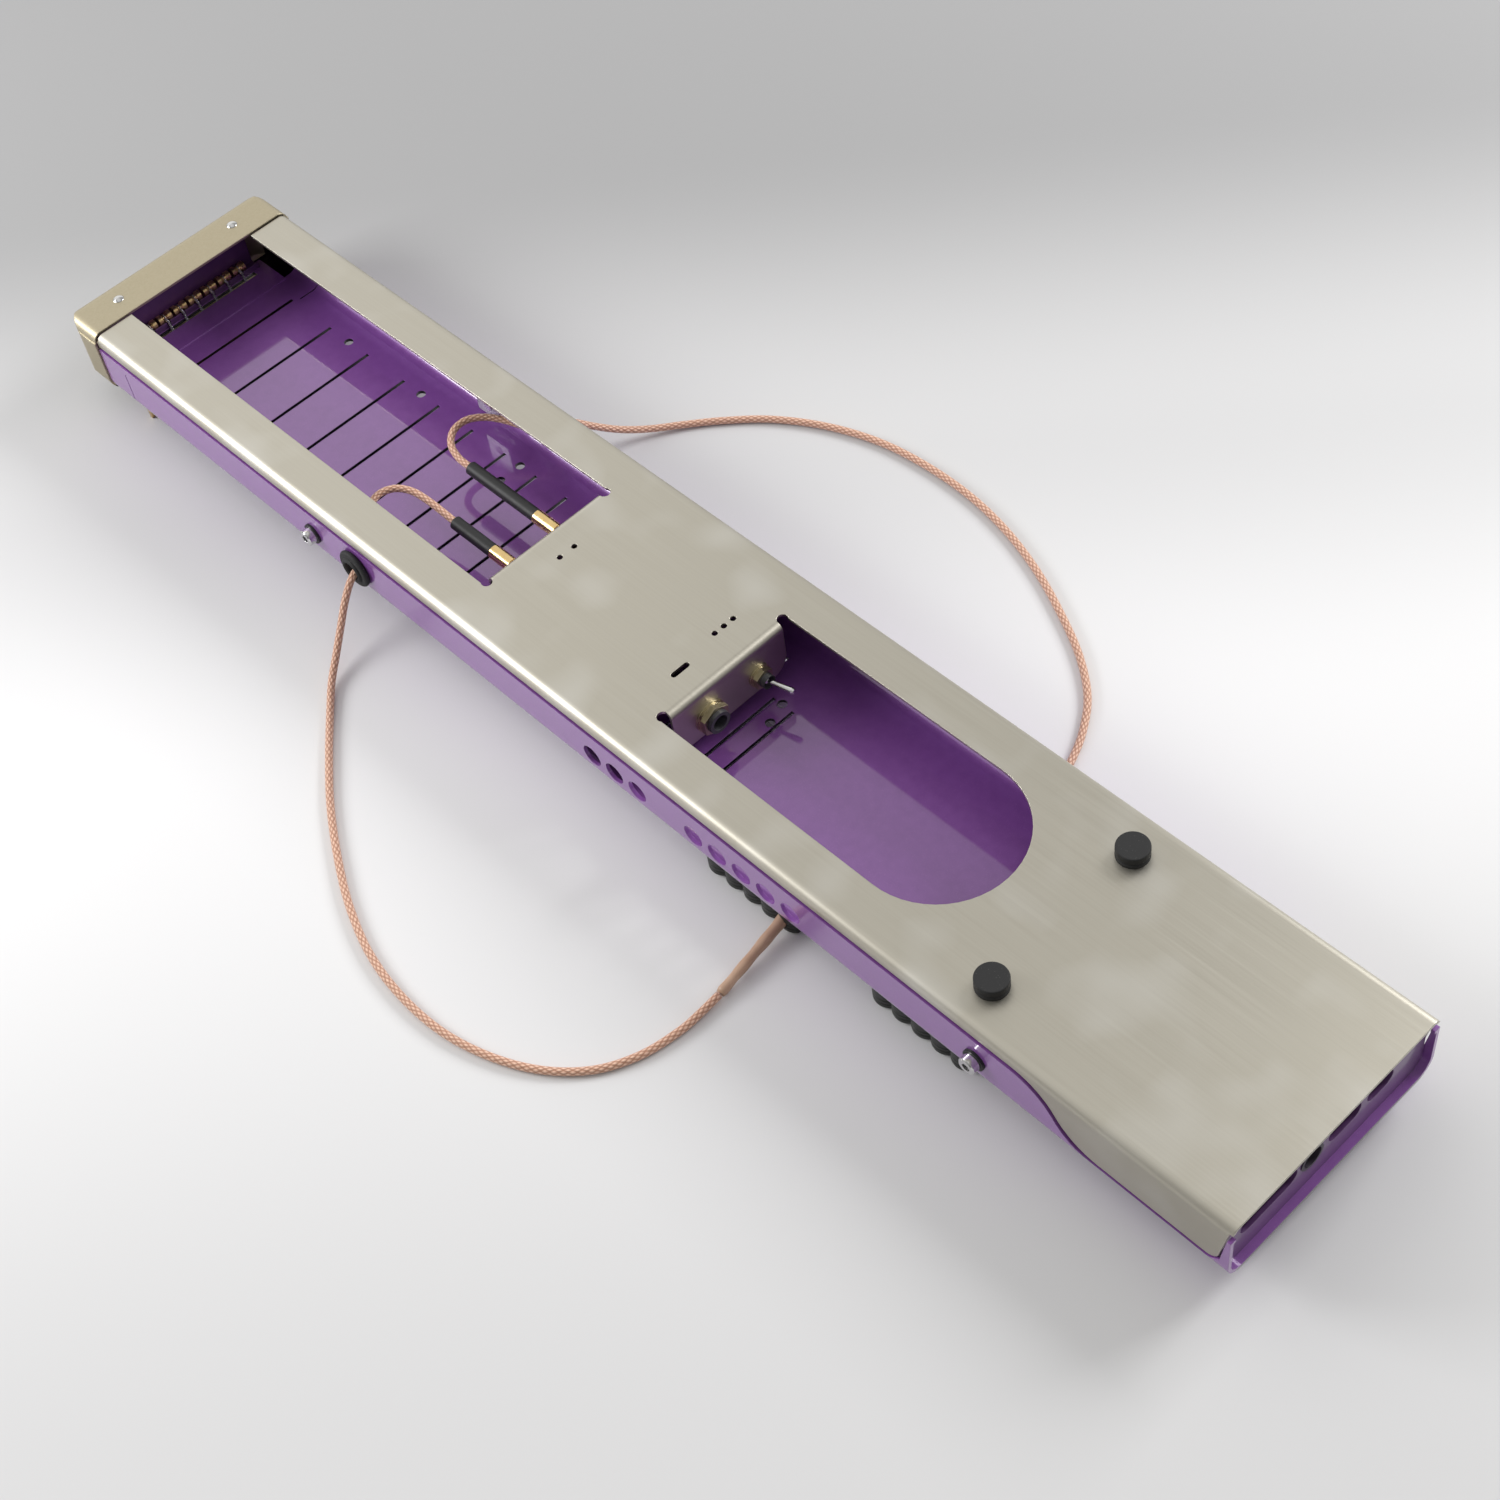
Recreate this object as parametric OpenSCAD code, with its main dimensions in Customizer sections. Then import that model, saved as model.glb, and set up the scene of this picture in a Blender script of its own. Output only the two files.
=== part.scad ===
// Lap steel guitar of folded sheet, lying on its strings with the steel back up.
// X runs from the head cap to the tail, Z is up, and the back is at the top.
// Places along the body are measured from the seam between cap and body, as x_at(u).

/* [Body] */
// Speaking length of the strings, from nut to bridge
scale_l = 490; // [450:1:560]
// Length of the head cap
cap_l = 21; // [20:1:30]
// Distance from the cap seam to the nut
nut_u = 15; // [14:1:24]
// Distance from the bridge to the tail face
tail_room = 92; // [88:1:110]
// Width over the steel flanges
body_w = 100; // [96:1:112]
// Height from the front face to the steel back
body_h = 31; // [30:0.5:38]
// Height of the front face above the surface that the nut and bridge rest on
rest_h = 9; // [8.5:0.5:12]
// Radius of the long edges of the purple shell
edge_r = 8; // [6:0.5:10]
// Thickness of the purple sheet
shell_t = 1.5; // [1:0.1:2]
// Width of the lip that carries the gasket
lip_w = 8; // [5:0.5:10]

/* [Back plate] */
// Thickness of the steel sheet
plate_t = 1.2; // [0.8:0.1:1.6]
// Outer radius of the long steel bends
bend_r = 3.5; // [2.5:0.1:4.5]
// Depth of the narrow flange
flange_d = 5; // [4.6:0.1:7]
// Depth of the flange at the tail
deep_flange_d = 24; // [18:0.5:24.5]
// Length of the deep flange, its curve included
deep_flange_l = 87; // [60:1:110]
// Length of the curve between narrow and deep flange
s_curve_l = 35; // [24:1:44]
// Thickness of the gasket between plate and shell
gasket_t = 1.4; // [0.5:0.1:1.5]
// Width of both windows
window_w = 63; // [60:1:70]
// Length of the window over the frets
window_1_l = 228; // [180:1:250]
// Distance from the seam to the start of the rounded window
window_2_u = 329; // [300:1:340]
// Length of the rounded window
window_2_l = 134; // [110:1:150]
// Depth of the bent tabs that carry the sockets and controls
tab_d = 23; // [22.5:0.5:25]
// Width of the bent tabs
tab_w = 55; // [50:1:58]
// Radius of the lower corners of the tabs
tab_corner_r = 8; // [3:0.5:10]

/* [Strings] */
// Distance between neighbouring strings
string_pitch = 8; // [7.6:0.1:8.4]
// Width of the fret slots
fret_slot_w = 1.5; // [0.8:0.1:2]
// Number of fret slots
fret_count = 19; // [12:1:19]
// Length of the fret slots
fret_slot_l = 67; // [60:1:72]
// Length of the nut across the body
nut_l = 92; // [80:1:96]
// Length of the bridge across the body
bridge_l = 80; // [68:1:92]

/* [Pickups] */
// Length of a pickup along the strings
pickup_l = 45; // [40:1:48]
// Number of round lobes on each end of a pickup
lobe_count = 5; // [4:1:6]
// Thickness of a pickup under the strings
pickup_h = 5.4; // [4:0.1:6]
// Free space between the bridge and the nearer pickup
pickup_gap = 16.5; // [6:0.5:18]
// Free space between the two pickups
pickup_spacing = 36; // [30:1:44]

/* [Tuners] */
// Diameter of the tuning screws
screw_d = 4; // [3:0.1:4]
// Diameter of the knurled heads
knob_d = 7; // [6:0.1:7]
// Length of the knurled heads
knob_l = 9.5; // [6:0.5:10]
// Length of a string carriage
carriage_l = 12; // [10:0.5:14]
// Travel of a carriage each way
carriage_travel = 4.5; // [4:0.5:6]

/* [Controls] */
// Diameter of the bore of the output jack
jack_bore_d = 6.5; // [6.4:0.05:6.6]
// Length of the bore of the output jack
jack_bore_l = 28; // [20:1:30]
// Distance of the output jack from the centre line
jack_y = 11; // [10:0.5:14]
// Distance of the toggle switch from the centre line
toggle_y = 13.5; // [12:0.5:16]
// Tilt of the toggle lever to each side
toggle_tilt = 13; // [8:1:14]
// Distance of the two pickup sockets from the centre line
socket_y = 11.5; // [10:0.5:14]

/* [Fittings] */
// Diameter of the rubber feet
foot_d = 12; // [9:0.5:16]
// Height of the rubber feet
foot_h = 5; // [3:0.5:8]
// Diameter of the side screw heads
side_head_d = 7; // [6:0.1:8]
// Diameter of the washers under the side screws
washer_d = 8.8; // [8.5:0.1:11]
// Diameter of the holes in the near side
vent_d = 9; // [6:0.5:10]
// Outer diameter of the cable grommets
grommet_d = 16.5; // [13:0.5:17]
// Diameter of the pickup cords
cord_d = 3; // [2.4:0.1:3.4]

/* [Hidden] */
$fn = 48;

// Clearances
fit = 0.05;
gap = 0.3;
eps = 0.01;

// Levels
face_z = rest_h;
floor_z = face_z + shell_t;
top_z = face_z + body_h;
under_z = top_z - plate_t;
flange_z = top_z - flange_d;
lip_z = flange_z - gasket_t;
deep_z = top_z - deep_flange_d;
half_w = body_w / 2;
shell_proud = 0.5;
side_y = half_w + shell_proud;

// Places along the body
tail_u = nut_u + scale_l + tail_room;
bridge_u = nut_u + scale_l;
body_l = cap_l + tail_u;
seam_x = cap_l - body_l / 2;
seam_gap = 0.8;
function x_at(u) = seam_x + u;
function fret_u(n) = nut_u + scale_l * (1 - pow(2, -n / 12));

// Strings, thickest on the near side
string_d = [1.3, 1.1, 0.95, 0.8, 0.65, 0.5, 0.45, 0.4];
string_n = len(string_d);
function string_y(i) = (i - (string_n - 1) / 2) * string_pitch;
crest_z = 0.9;
crest_h = 0.9;

// Head cap and string anchor
cap_t = 1.2;
cap_proud = 0.8;
cap_r = 11;
cap_edge_r = 3.5;
string_slot_u = -11.7;
string_slot_w = 3;
tongue_w = body_w - 20;
tongue_l = 17.4;
tongue_z = face_z + cap_t - cap_proud;
pin_u = -11;
pin_y = half_w - 20;
pin_r = 2.4;
ball_r = 2.3;
ball_l = 6.6;
ball_u = -16.6;
anchor_t = 0.8;
anchor_w = body_w - 26;
anchor_u = ball_u - ball_r - anchor_t - 0.05;
anchor_z = tongue_z + shell_t;
comb_u = -14.2;
comb_z = anchor_z + 2.6;
ball_z = anchor_z + anchor_t + ball_r;

// Windows, tabs and their marks
relief_r = 2.2;
tab_r = 3.2;
mark_d = 2.4;

// Nut and bridge
blade_w = 4;
tip_w = 1.6;
groove_w = 1.2;
groove_depth = 2.5;
lip_gap = 1.25;

// Tuners
frame_u = bridge_u + 20;
lip_r = 3;
string_z = floor_z + 11.5;
screw_z = floor_z + 5.5;
base_t = 2;
lip_u = frame_u + 4;
carriage_u = lip_u + lip_r + 1.5 + carriage_travel;
rear_u = carriage_u + carriage_l + carriage_travel + 1.5;
rear_t = 5;
knob_u = rear_u + rear_t + gap;
carriage_w = string_pitch - 1.2;
carriage_z = floor_z + base_t + gap;
carriage_h = string_z - carriage_z + 2.6;
frame_w = 7 * string_pitch + 14;
string_end_u = carriage_u + carriage_l / 2 + 1;

// Controls
ctrl_z = top_z - 15;
socket_z = top_z - 14;
jack_nose = 5.5;
toggle_pivot = 3;
toggle_len = 13;

// Pickups
pickup_z = face_z - 0.1;
pickup_u = [bridge_u - blade_w / 2 - pickup_gap - 2 * pickup_l - pickup_spacing + 0.5,
            bridge_u - blade_w / 2 - pickup_gap - pickup_l + 0.5];
lobe_pitch = pickup_l / lobe_count;
lobe_depth = 1.9;
lobe_r = (pow(lobe_pitch / 2, 2) + pow(lobe_depth, 2)) / (2 * lobe_depth);
lobe_low = 0.6;
pickup_w = body_w - 4;
end_block_y = half_w - 15.5;
magnet_y = half_w - 10;
core_l = 2 * end_block_y - 7;

// Side fittings
side_screw_u = [144, 494];
side_z = top_z - 17;
grommet_u = window_1_l - 56;
grommet_z = top_z - 16.3;
cord_hole_r = 3.6;
vent_z = top_z - 18;
vent_pitch = 12;
vent_groups = [[308.5, 3], [361.5, 5]];
foot_u = tail_u - 110;
foot_y = half_w - 16;

// Tail openings: centre across the body and length of each slot
tail_slots = [[-28.3, 27], [8.3, 16], [25.8, 13]];
tail_slot_h = 8;
tail_hole_y = -7.8;
tail_hole_r = 5.5;
tail_slot_z = top_z - 14.3;
tail_recess = 3;

// Routes of the cords as [u, y, z] and their ends
near_drawn = [
    [186, -11.5, 26], [178, -11.5, 26.6], [170, -12, 27.8], [162, -13.5, 29], [156, -17.5, 29.6],
    [153.6, -24, 29.4], [156, -31, 28.2], [162, -37, 26.4], [168, -41.6, 24.8], [171.4, -46.6, 24],
    [172.4, -51, 23.2], [173.6, -56, 21], [176, -62, 16.4], [180, -69, 10.6], [185.4, -77, 5.6],
    [192.4, -85.6, 2.6], [203, -95, 1.6], [219, -108, 1.6], [237, -121.5, 1.6], [257, -134, 1.6],
    [278, -145, 1.6], [300, -153, 1.6], [322, -156.5, 1.6], [344, -156, 1.6], [364, -151, 1.6],
    [381, -142.5, 1.6], [394, -130.5, 1.6], [401.5, -116, 1.6], [404.5, -101, 1.7], [404.7, -91, 1.9],
    [404.4, -82, 2.3]];
far_drawn = [
    [168, 11.5, 26], [160, 11.6, 26.4], [153, 13.8, 27.4], [148.6, 19, 28.4], [148.2, 26, 28.6],
    [152, 32.4, 27.8], [158, 37, 26.6], [164.4, 40.4, 25.2], [169.6, 44.4, 24.2], [172, 49, 23.6],
    [173, 53.6, 22.4], [175, 59, 19], [178.4, 66, 13.6], [182.6, 74.6, 8], [188, 85, 3.8],
    [195.4, 96.6, 2], [206, 109, 1.6], [221, 122.5, 1.6], [241, 134, 1.6], [264, 141.5, 1.6],
    [288, 144, 1.6], [312, 143, 1.6], [335, 138.5, 1.6], [357, 131, 1.6], [378, 121, 1.6],
    [397, 110, 1.6], [412, 97.5, 1.6], [421.5, 84, 1.6], [427, 72, 1.7], [430, 62, 2], [432.5, 53.5, 2.5]];
// The routes are drawn for these ends, and follow the first window and the pickups when those move
drawn_window = 228;
drawn_half_w = 50;
drawn_pickup = [361, 442];
function routed(p, k, side) =
    [for (i = [0:len(p) - 1])
        let (t = max(0, min(1, (i - 10) / (len(p) - 13))), out = min(1, i / 9))
        p[i] + [(1 - t) * (window_1_l - drawn_window) + t * (pickup_u[k] - drawn_pickup[k]),
                side * out * (half_w - drawn_half_w), 0]];
near_route = routed(near_drawn, 0, -1);
far_route = routed(far_drawn, 1, 1);
relief_1_end = [pickup_u[0] + 38.5, -half_w + 7, 4.9];
relief_2_end = [pickup_u[1] - 1, half_w - 13.5, 5];
function short_of(a, b, d) = b + (a - b) * d / norm(a - b);
relief_1_tip = short_of(relief_1_end, near_route[len(near_route) - 1], 0.6);
relief_2_tip = short_of(relief_2_end, far_route[len(far_route) - 1], 2);
relief_r_thick = 2.5;
relief_r_thin = 1.9;
sleeve_r = 2.8;
sleeve_near_u = window_1_l - 19;
sleeve_far_u = window_1_l - 20;
plug_end_u = window_1_l - 1.9;

// Extrudes a (y, z) outline along the body
module along_x(u0, u1) {
    translate([x_at(u0), 0, 0]) rotate([90, 0, 90]) linear_extrude(u1 - u0) children();
}

// Extrudes a (u, z) outline across the body
module along_y(y0, y1) {
    translate([seam_x, y1, 0]) rotate([90, 0, 0]) linear_extrude(y1 - y0) children();
}

// Extrudes a (u, y) outline upwards
module along_z(z0, z1) {
    translate([seam_x, 0, z0]) linear_extrude(z1 - z0) children();
}

// A round rod or hole along X, Y or Z
module rod_x(u0, u1, y, z, r) {
    translate([x_at(u0), y, z]) rotate([0, 90, 0]) cylinder(h = u1 - u0, r = r);
}
module rod_y(u, y0, y1, z, r) {
    translate([x_at(u), y0, z]) rotate([-90, 0, 0]) cylinder(h = y1 - y0, r = r);
}
module rod_z(u, y, z0, z1, r) {
    translate([x_at(u), y, z0]) cylinder(h = z1 - z0, r = r);
}

// A box given by its two corners, with u along the body
module block(a, b) {
    translate([x_at(a[0]), a[1], a[2]]) cube([b[0] - a[0], b[1] - a[1], b[2] - a[2]]);
}

// A rod between two points
module strut(a, b, r0, r1) {
    d = b - a;
    n = norm(d);
    translate([x_at(a[0]), a[1], a[2]])
        rotate([0, acos(d[2] / n), atan2(d[1], d[0])])
            cylinder(h = n, r1 = r0, r2 = r1);
}

// Tube swept along a route: one ring of points for each point of the route.
// The route never runs along ref, so the rings don't twist.
tube_sides = 8;
function unit(v) = v / norm(v);
function route_dir(p, i) = unit(p[min(i + 1, len(p) - 1)] - p[max(i - 1, 0)]);
function ring(p, i, r, ref) =
    let (d = route_dir(p, i), a = unit(cross(d, ref)), b = cross(d, a))
    [for (k = [0:tube_sides - 1])
        let (t = 360 * (k + 0.5) / tube_sides)
        [x_at(p[i][0]), p[i][1], p[i][2]] + r * (cos(t) * a + sin(t) * b)];
module tube(p, r, ref) {
    n = len(p);
    m = tube_sides;
    polyhedron(
        points = [for (i = [0:n - 1]) each ring(p, i, r, ref)],
        faces = concat(
            [[for (k = [0:m - 1]) k]],
            [[for (k = [m - 1:-1:0]) (n - 1) * m + k]],
            [for (i = [0:n - 2]) for (k = [0:m - 1])
                [i * m + k, (i + 1) * m + k, (i + 1) * m + (k + 1) % m]],
            [for (i = [0:n - 2]) for (k = [0:m - 1])
                [i * m + k, (i + 1) * m + (k + 1) % m, i * m + (k + 1) % m]]));
}

// Lower part of the body outline, inset by g, up to the level z1
module low_outline(g, z1) {
    w = side_y - g;
    r = edge_r - g;
    translate([-w, face_z + edge_r]) square([2 * w, z1 - face_z - edge_r]);
    translate([-w + r, face_z + g]) square([2 * (w - r), edge_r - g + eps]);
    for (s = [-1, 1]) translate([s * (w - r), face_z + edge_r]) circle(r);
}

// Upper part of the body outline, inset by g, down to the level z0
module high_outline(g, z0) {
    w = half_w - g;
    r = bend_r - g;
    translate([-w, z0]) square([2 * w, top_z - bend_r - z0]);
    translate([-w + r, z0]) square([2 * (w - r), top_z - g - z0]);
    for (s = [-1, 1]) translate([s * (w - r), top_z - bend_r]) circle(r);
}

// Lower edge of the steel flange: an S curve of two equal arcs, moved by (du, dz)
function s_curve(du, dz) =
    let (drop = flange_z - deep_z,
         u0 = tail_u - deep_flange_l,
         u1 = u0 + s_curve_l,
         r = (pow(s_curve_l, 2) + pow(drop, 2)) / (4 * drop),
         a = 2 * atan(drop / s_curve_l),
         steps = 8)
    concat(
        [for (i = [0:steps]) [u0 + du + r * sin(a * i / steps), flange_z + dz - r * (1 - cos(a * i / steps))]],
        [for (i = [steps - 1:-1:0]) [u1 + du - r * sin(a * i / steps), deep_z + dz + r * (1 - cos(a * i / steps))]]);

// Slanted tail edge of the deep flange with its rounded corner
flange_slant = 3.6;
flange_corner_r = 5;
function tail_edge() =
    [for (i = [0:6]) [tail_u - flange_slant - flange_corner_r - 0.6 + flange_corner_r * sin(15 * i),
                      deep_z + flange_corner_r * (1 - cos(15 * i))]];

// A bent tab across the body: flat at the top, a quarter bend, then down.
// side is 1 where the tab faces the tail and -1 where it faces the head.
module tab(u, side) {
    intersection() {
        along_y(-tab_w / 2, tab_w / 2) difference() {
            union() {
                translate([u - side * tab_r, top_z - tab_r]) circle(tab_r);
                translate([min(u, u - side * plate_t), top_z - tab_d]) square([plate_t, tab_d - tab_r]);
                translate([min(u - side * tab_r, u - side * 3 * tab_r), under_z]) square([2 * tab_r, plate_t]);
            }
            translate([u - side * tab_r, top_z - tab_r]) circle(tab_r - plate_t);
            translate([min(u - side * plate_t, u - side * 4 * tab_r), top_z - tab_d - eps])
                square([4 * tab_r - plate_t, tab_d - tab_r + eps]);
            translate([min(u - side * tab_r, u - side * 4 * tab_r), top_z - tab_r - plate_t])
                square([3 * tab_r, tab_r]);
        }
        along_x(u - 4 * tab_r, u + 4 * tab_r) {
            translate([-tab_w / 2, top_z - tab_d + tab_corner_r]) square([tab_w, tab_d - tab_corner_r]);
            translate([-tab_w / 2 + tab_corner_r, top_z - tab_d]) square([tab_w - 2 * tab_corner_r, tab_corner_r + eps]);
            for (s = [-1, 1]) translate([s * (tab_w / 2 - tab_corner_r), top_z - tab_d + tab_corner_r]) circle(tab_corner_r);
        }
    }
}

module back_plate() {
    color([0.71, 0.69, 0.64]) difference() {
        union() {
            difference() {
                along_x(seam_gap / 2, tail_u) difference() {
                    high_outline(0, deep_z);
                    high_outline(plate_t, deep_z - eps);
                }
                // flange outline seen from the side
                along_y(-half_w - 1, half_w + 1) polygon(concat(
                    [[-1, deep_z - 1], [-1, flange_z]], s_curve(0, 0), tail_edge(),
                    [[tail_u - 1.2, under_z - 1], [tail_u + 1, under_z - 1], [tail_u + 1, deep_z - 1]]));
                // first window, open as far as its tab
                block([-1, -window_w / 2, under_z - 1], [window_1_l + tab_r, window_w / 2, top_z + 1]);
                // second window with its half-round end
                block([window_2_u - tab_r, -window_w / 2, under_z - 1],
                      [window_2_u + window_2_l - window_w / 2, window_w / 2, top_z + 1]);
                rod_z(window_2_u + window_2_l - window_w / 2, 0, under_z - 1, top_z + 1, window_w / 2);
            }
            // sheet beside the tabs, up to the window ends
            for (s = [-1, 1]) {
                block([window_1_l, s > 0 ? tab_w / 2 + 2 * relief_r : -window_w / 2, under_z],
                      [window_1_l + tab_r, s > 0 ? window_w / 2 : -tab_w / 2 - 2 * relief_r, top_z]);
                block([window_2_u - tab_r, s > 0 ? tab_w / 2 + 2 * relief_r : -window_w / 2, under_z],
                      [window_2_u, s > 0 ? window_w / 2 : -tab_w / 2 - 2 * relief_r, top_z]);
            }
            tab(window_1_l, -1);
            tab(window_2_u, 1);
        }
        // rounded reliefs at the ends of the tab bends
        for (s = [-1, 1]) {
            rod_z(window_1_l + relief_r, s * (tab_w / 2 + relief_r), under_z - 1, top_z + 1, relief_r);
            rod_z(window_2_u - relief_r, s * (tab_w / 2 + relief_r), under_z - 1, top_z + 1, relief_r);
        }
        // holes for sockets, jack and switch
        for (s = [-1, 1]) rod_x(window_1_l - 1, window_1_l + plate_t + 1, s * socket_y, socket_z, socket_r + fit);
        rod_x(window_2_u - plate_t - 1, window_2_u + 1, -jack_y, ctrl_z, jack_nose_r + fit);
        rod_x(window_2_u - plate_t - 1, window_2_u + 1, toggle_y, ctrl_z, bushing_r + fit);
        // plain marks: two dots for the sockets, three for the switch, a bar for the jack
        for (s = [-1, 1]) rod_z(window_1_l + 14, s * 3.6, under_z - 1, top_z + 1, mark_d / 2);
        for (k = [-1:1]) rod_z(window_2_u - 16, toggle_y + 4.6 * k, under_z - 1, top_z + 1, mark_d / 2);
        for (s = [-1, 1]) rod_z(window_2_u - 13, -jack_y + s * 3, under_z - 1, top_z + 1, mark_d / 2);
        block([window_2_u - 13 - mark_d / 2, -jack_y - 3, under_z - 1], [window_2_u - 13 + mark_d / 2, -jack_y + 3, top_z + 1]);
        // holes for the studs of the rubber feet
        for (s = [-1, 1]) rod_z(foot_u, s * foot_y, under_z - 1, top_z + 1, foot_stud_r);
    }
}

module front_shell() {
    color([0.45, 0.31, 0.53]) difference() {
        union() {
            difference() {
                along_x(seam_gap / 2, tail_u) difference() {
                    low_outline(0, lip_z);
                    low_outline(shell_t, lip_z - shell_t);
                    translate([-half_w + lip_w, lip_z - 2 * shell_t]) square([body_w - 2 * lip_w, 3 * shell_t]);
                }
                // the lip ends where the deep flange begins
                block([tail_u - deep_flange_l - 0.7, -half_w + 2, lip_z - 2 * shell_t], [tail_u + 1, half_w - 2, lip_z + 1]);
                // side walls follow the deep flange, with the width of the gasket between
                for (s = [-1, 1]) translate([0, s * (side_y - shell_t), 0]) along_y(-2, 2) polygon(concat(
                    s_curve(-0.7, -gasket_t),
                    [[tail_u - flange_slant - flange_corner_r, deep_z - gasket_t],
                     [tail_u - flange_slant, deep_z + 2.6],
                     [tail_u - 0.85, under_z - 1],
                     [tail_u - 0.85, top_z],
                     [tail_u - deep_flange_l - 0.7, top_z]]));
            }
            // tongue that reaches into the cap, a little above the floor to clear its sheet
            block([-tongue_l, -tongue_w / 2, tongue_z], [seam_gap / 2 + shell_t, tongue_w / 2, tongue_z + shell_t]);
        }
        // slot that the strings rise from, through the tongue
        block([string_slot_u - string_slot_w / 2, -fret_slot_l / 2, tongue_z - 1],
              [string_slot_u + string_slot_w / 2, fret_slot_l / 2, tongue_z + shell_t + 1]);
        // nut slot and fret slots
        for (n = [0:fret_count]) {
            short = n > 17;
            y1 = short ? fret_slot_l / 4 : fret_slot_l / 2;
            block([fret_u(n) - fret_slot_w / 2, -fret_slot_l / 2, face_z - 1],
                  [fret_u(n) + fret_slot_w / 2, y1, floor_z + 1]);
        }
        // position dots
        for (n = [1.5, 3.5, 6.5]) rod_z(fret_u(n), fret_slot_l / 2 - 0.5, face_z - 1, floor_z + 1, dot_r);
        rod_z(fret_u(6.5), fret_slot_l / 2 - 11, face_z - 1, floor_z + 1, dot_r);
        rod_z(fret_u(18.4), fret_slot_l / 4, face_z - 1, floor_z + 1, dot_r);
        rod_z(fret_u(18.7), fret_slot_l / 4 - 9, face_z - 1, floor_z + 1, dot_r);
        // slit that runs from the nut up both sides
        for (s = [-1, 1])
            block([nut_u + 2, s > 0 ? half_w - edge_r - 6 : -half_w - 1, face_z - 1],
                  [nut_u + 2.6, s > 0 ? half_w + 1 : -half_w + edge_r + 6, lip_z - 4]);
        // strings pass from the bridge up to the tuners
        block([bridge_u + 6, -frame_w / 2, face_z - 1], [bridge_u + 16, frame_w / 2, floor_z + 1]);
        // opening under the knurled heads
        block([rear_u + rear_t + gap / 2, -frame_w / 2, face_z - 1], [tail_u - 8.5, frame_w / 2, floor_z + 1]);
        // cord holes, side screws and round holes in the near side
        for (s = [-1, 1]) {
            rod_y(grommet_u, s > 0 ? half_w - 4 : -half_w - 1, s > 0 ? half_w + 1 : -half_w + 4, grommet_z, grommet_neck_r + fit);
            for (u = side_screw_u)
                rod_y(u, s > 0 ? half_w - 4 : -half_w - 1, s > 0 ? half_w + 1 : -half_w + 4, side_z, side_shank_r + fit);
        }
        for (g = vent_groups)
            for (k = [0:g[1] - 1])
                rod_y(g[0] + k * vent_pitch, -half_w - 1, -half_w + 4, vent_z, vent_d / 2);
    }
}

// Wall between the sides, set back inside the rim of floor and sides
module tail_wall() {
    u0 = tail_u - tail_recess - shell_t;
    u1 = tail_u - tail_recess;
    color([0.45, 0.31, 0.53]) difference() {
        along_x(u0, u1) {
            intersection() {
                low_outline(shell_t + 0.02, lip_z);
                translate([-half_w + plate_t + gap, 0]) square([body_w - 2 * plate_t - 2 * gap, lip_z]);
            }
            translate([-half_w + bend_r, lip_z - eps]) square([body_w - 2 * bend_r, under_z - gap - lip_z]);
        }
        for (s = tail_slots) {
            for (e = [-1, 1])
                rod_x(u0 - 1, u1 + 1, s[0] + e * (s[1] - tail_slot_h) / 2, tail_slot_z, tail_slot_h / 2);
            block([u0 - 1, s[0] - (s[1] - tail_slot_h) / 2, tail_slot_z - tail_slot_h / 2],
                  [u1 + 1, s[0] + (s[1] - tail_slot_h) / 2, tail_slot_z + tail_slot_h / 2]);
        }
        rod_x(u0 - 1, u1 + 1, tail_hole_y, tail_slot_z, tail_hole_r - 1 + fit);
    }
}

// Cap solid, inset by g: body outline, plan and side outline together
module cap_solid(g, u1) {
    w = side_y - g;
    l = cap_l - g;
    r = cap_r - g;
    er = cap_edge_r - g;
    intersection() {
        along_x(-l, u1) {
            low_outline(g, top_z - bend_r);
            high_outline(g, face_z + edge_r);
        }
        along_z(face_z - 2, top_z + 2) {
            translate([-l + r, -w]) square([l + 2, 2 * w]);
            translate([-l, -w + r]) square([r + eps, 2 * (w - r)]);
            for (s = [-1, 1]) translate([-l + r, s * (w - r)]) circle(r);
        }
        along_y(-w, w) {
            translate([-l + er, face_z + g]) square([l + 2, body_h - 2 * g]);
            translate([-l, face_z + g + er]) square([er + eps, body_h - 2 * g - 2 * er]);
            for (z = [face_z + g + er, top_z - g - er]) translate([-l + er, z]) circle(er);
        }
    }
}

module head_cap() {
    color([0.72, 0.67, 0.55]) difference() {
        cap_solid(-cap_proud, -seam_gap / 2);
        cap_solid(cap_t - cap_proud, 1);
        for (s = [-1, 1]) rod_z(pin_u, s * pin_y, top_z - 5, top_z + 2, pin_shank_r + fit);
        block([string_slot_u - string_slot_w / 2, -fret_slot_l / 2, face_z - 2],
              [string_slot_u + string_slot_w / 2, fret_slot_l / 2, face_z + cap_t + 1]);
    }
}

module cap_pins() {
    color([0.85, 0.85, 0.86]) for (s = [-1, 1]) {
        rod_z(pin_u, s * pin_y, top_z - 3.5, top_z + cap_proud + eps, pin_shank_r);
        translate([x_at(pin_u), s * pin_y, top_z + cap_proud]) rotate_extrude() intersection() {
            translate([0, -pin_r]) circle(pin_r * 1.42);
            square([pin_r, pin_r]);
        }
    }
}

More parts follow.
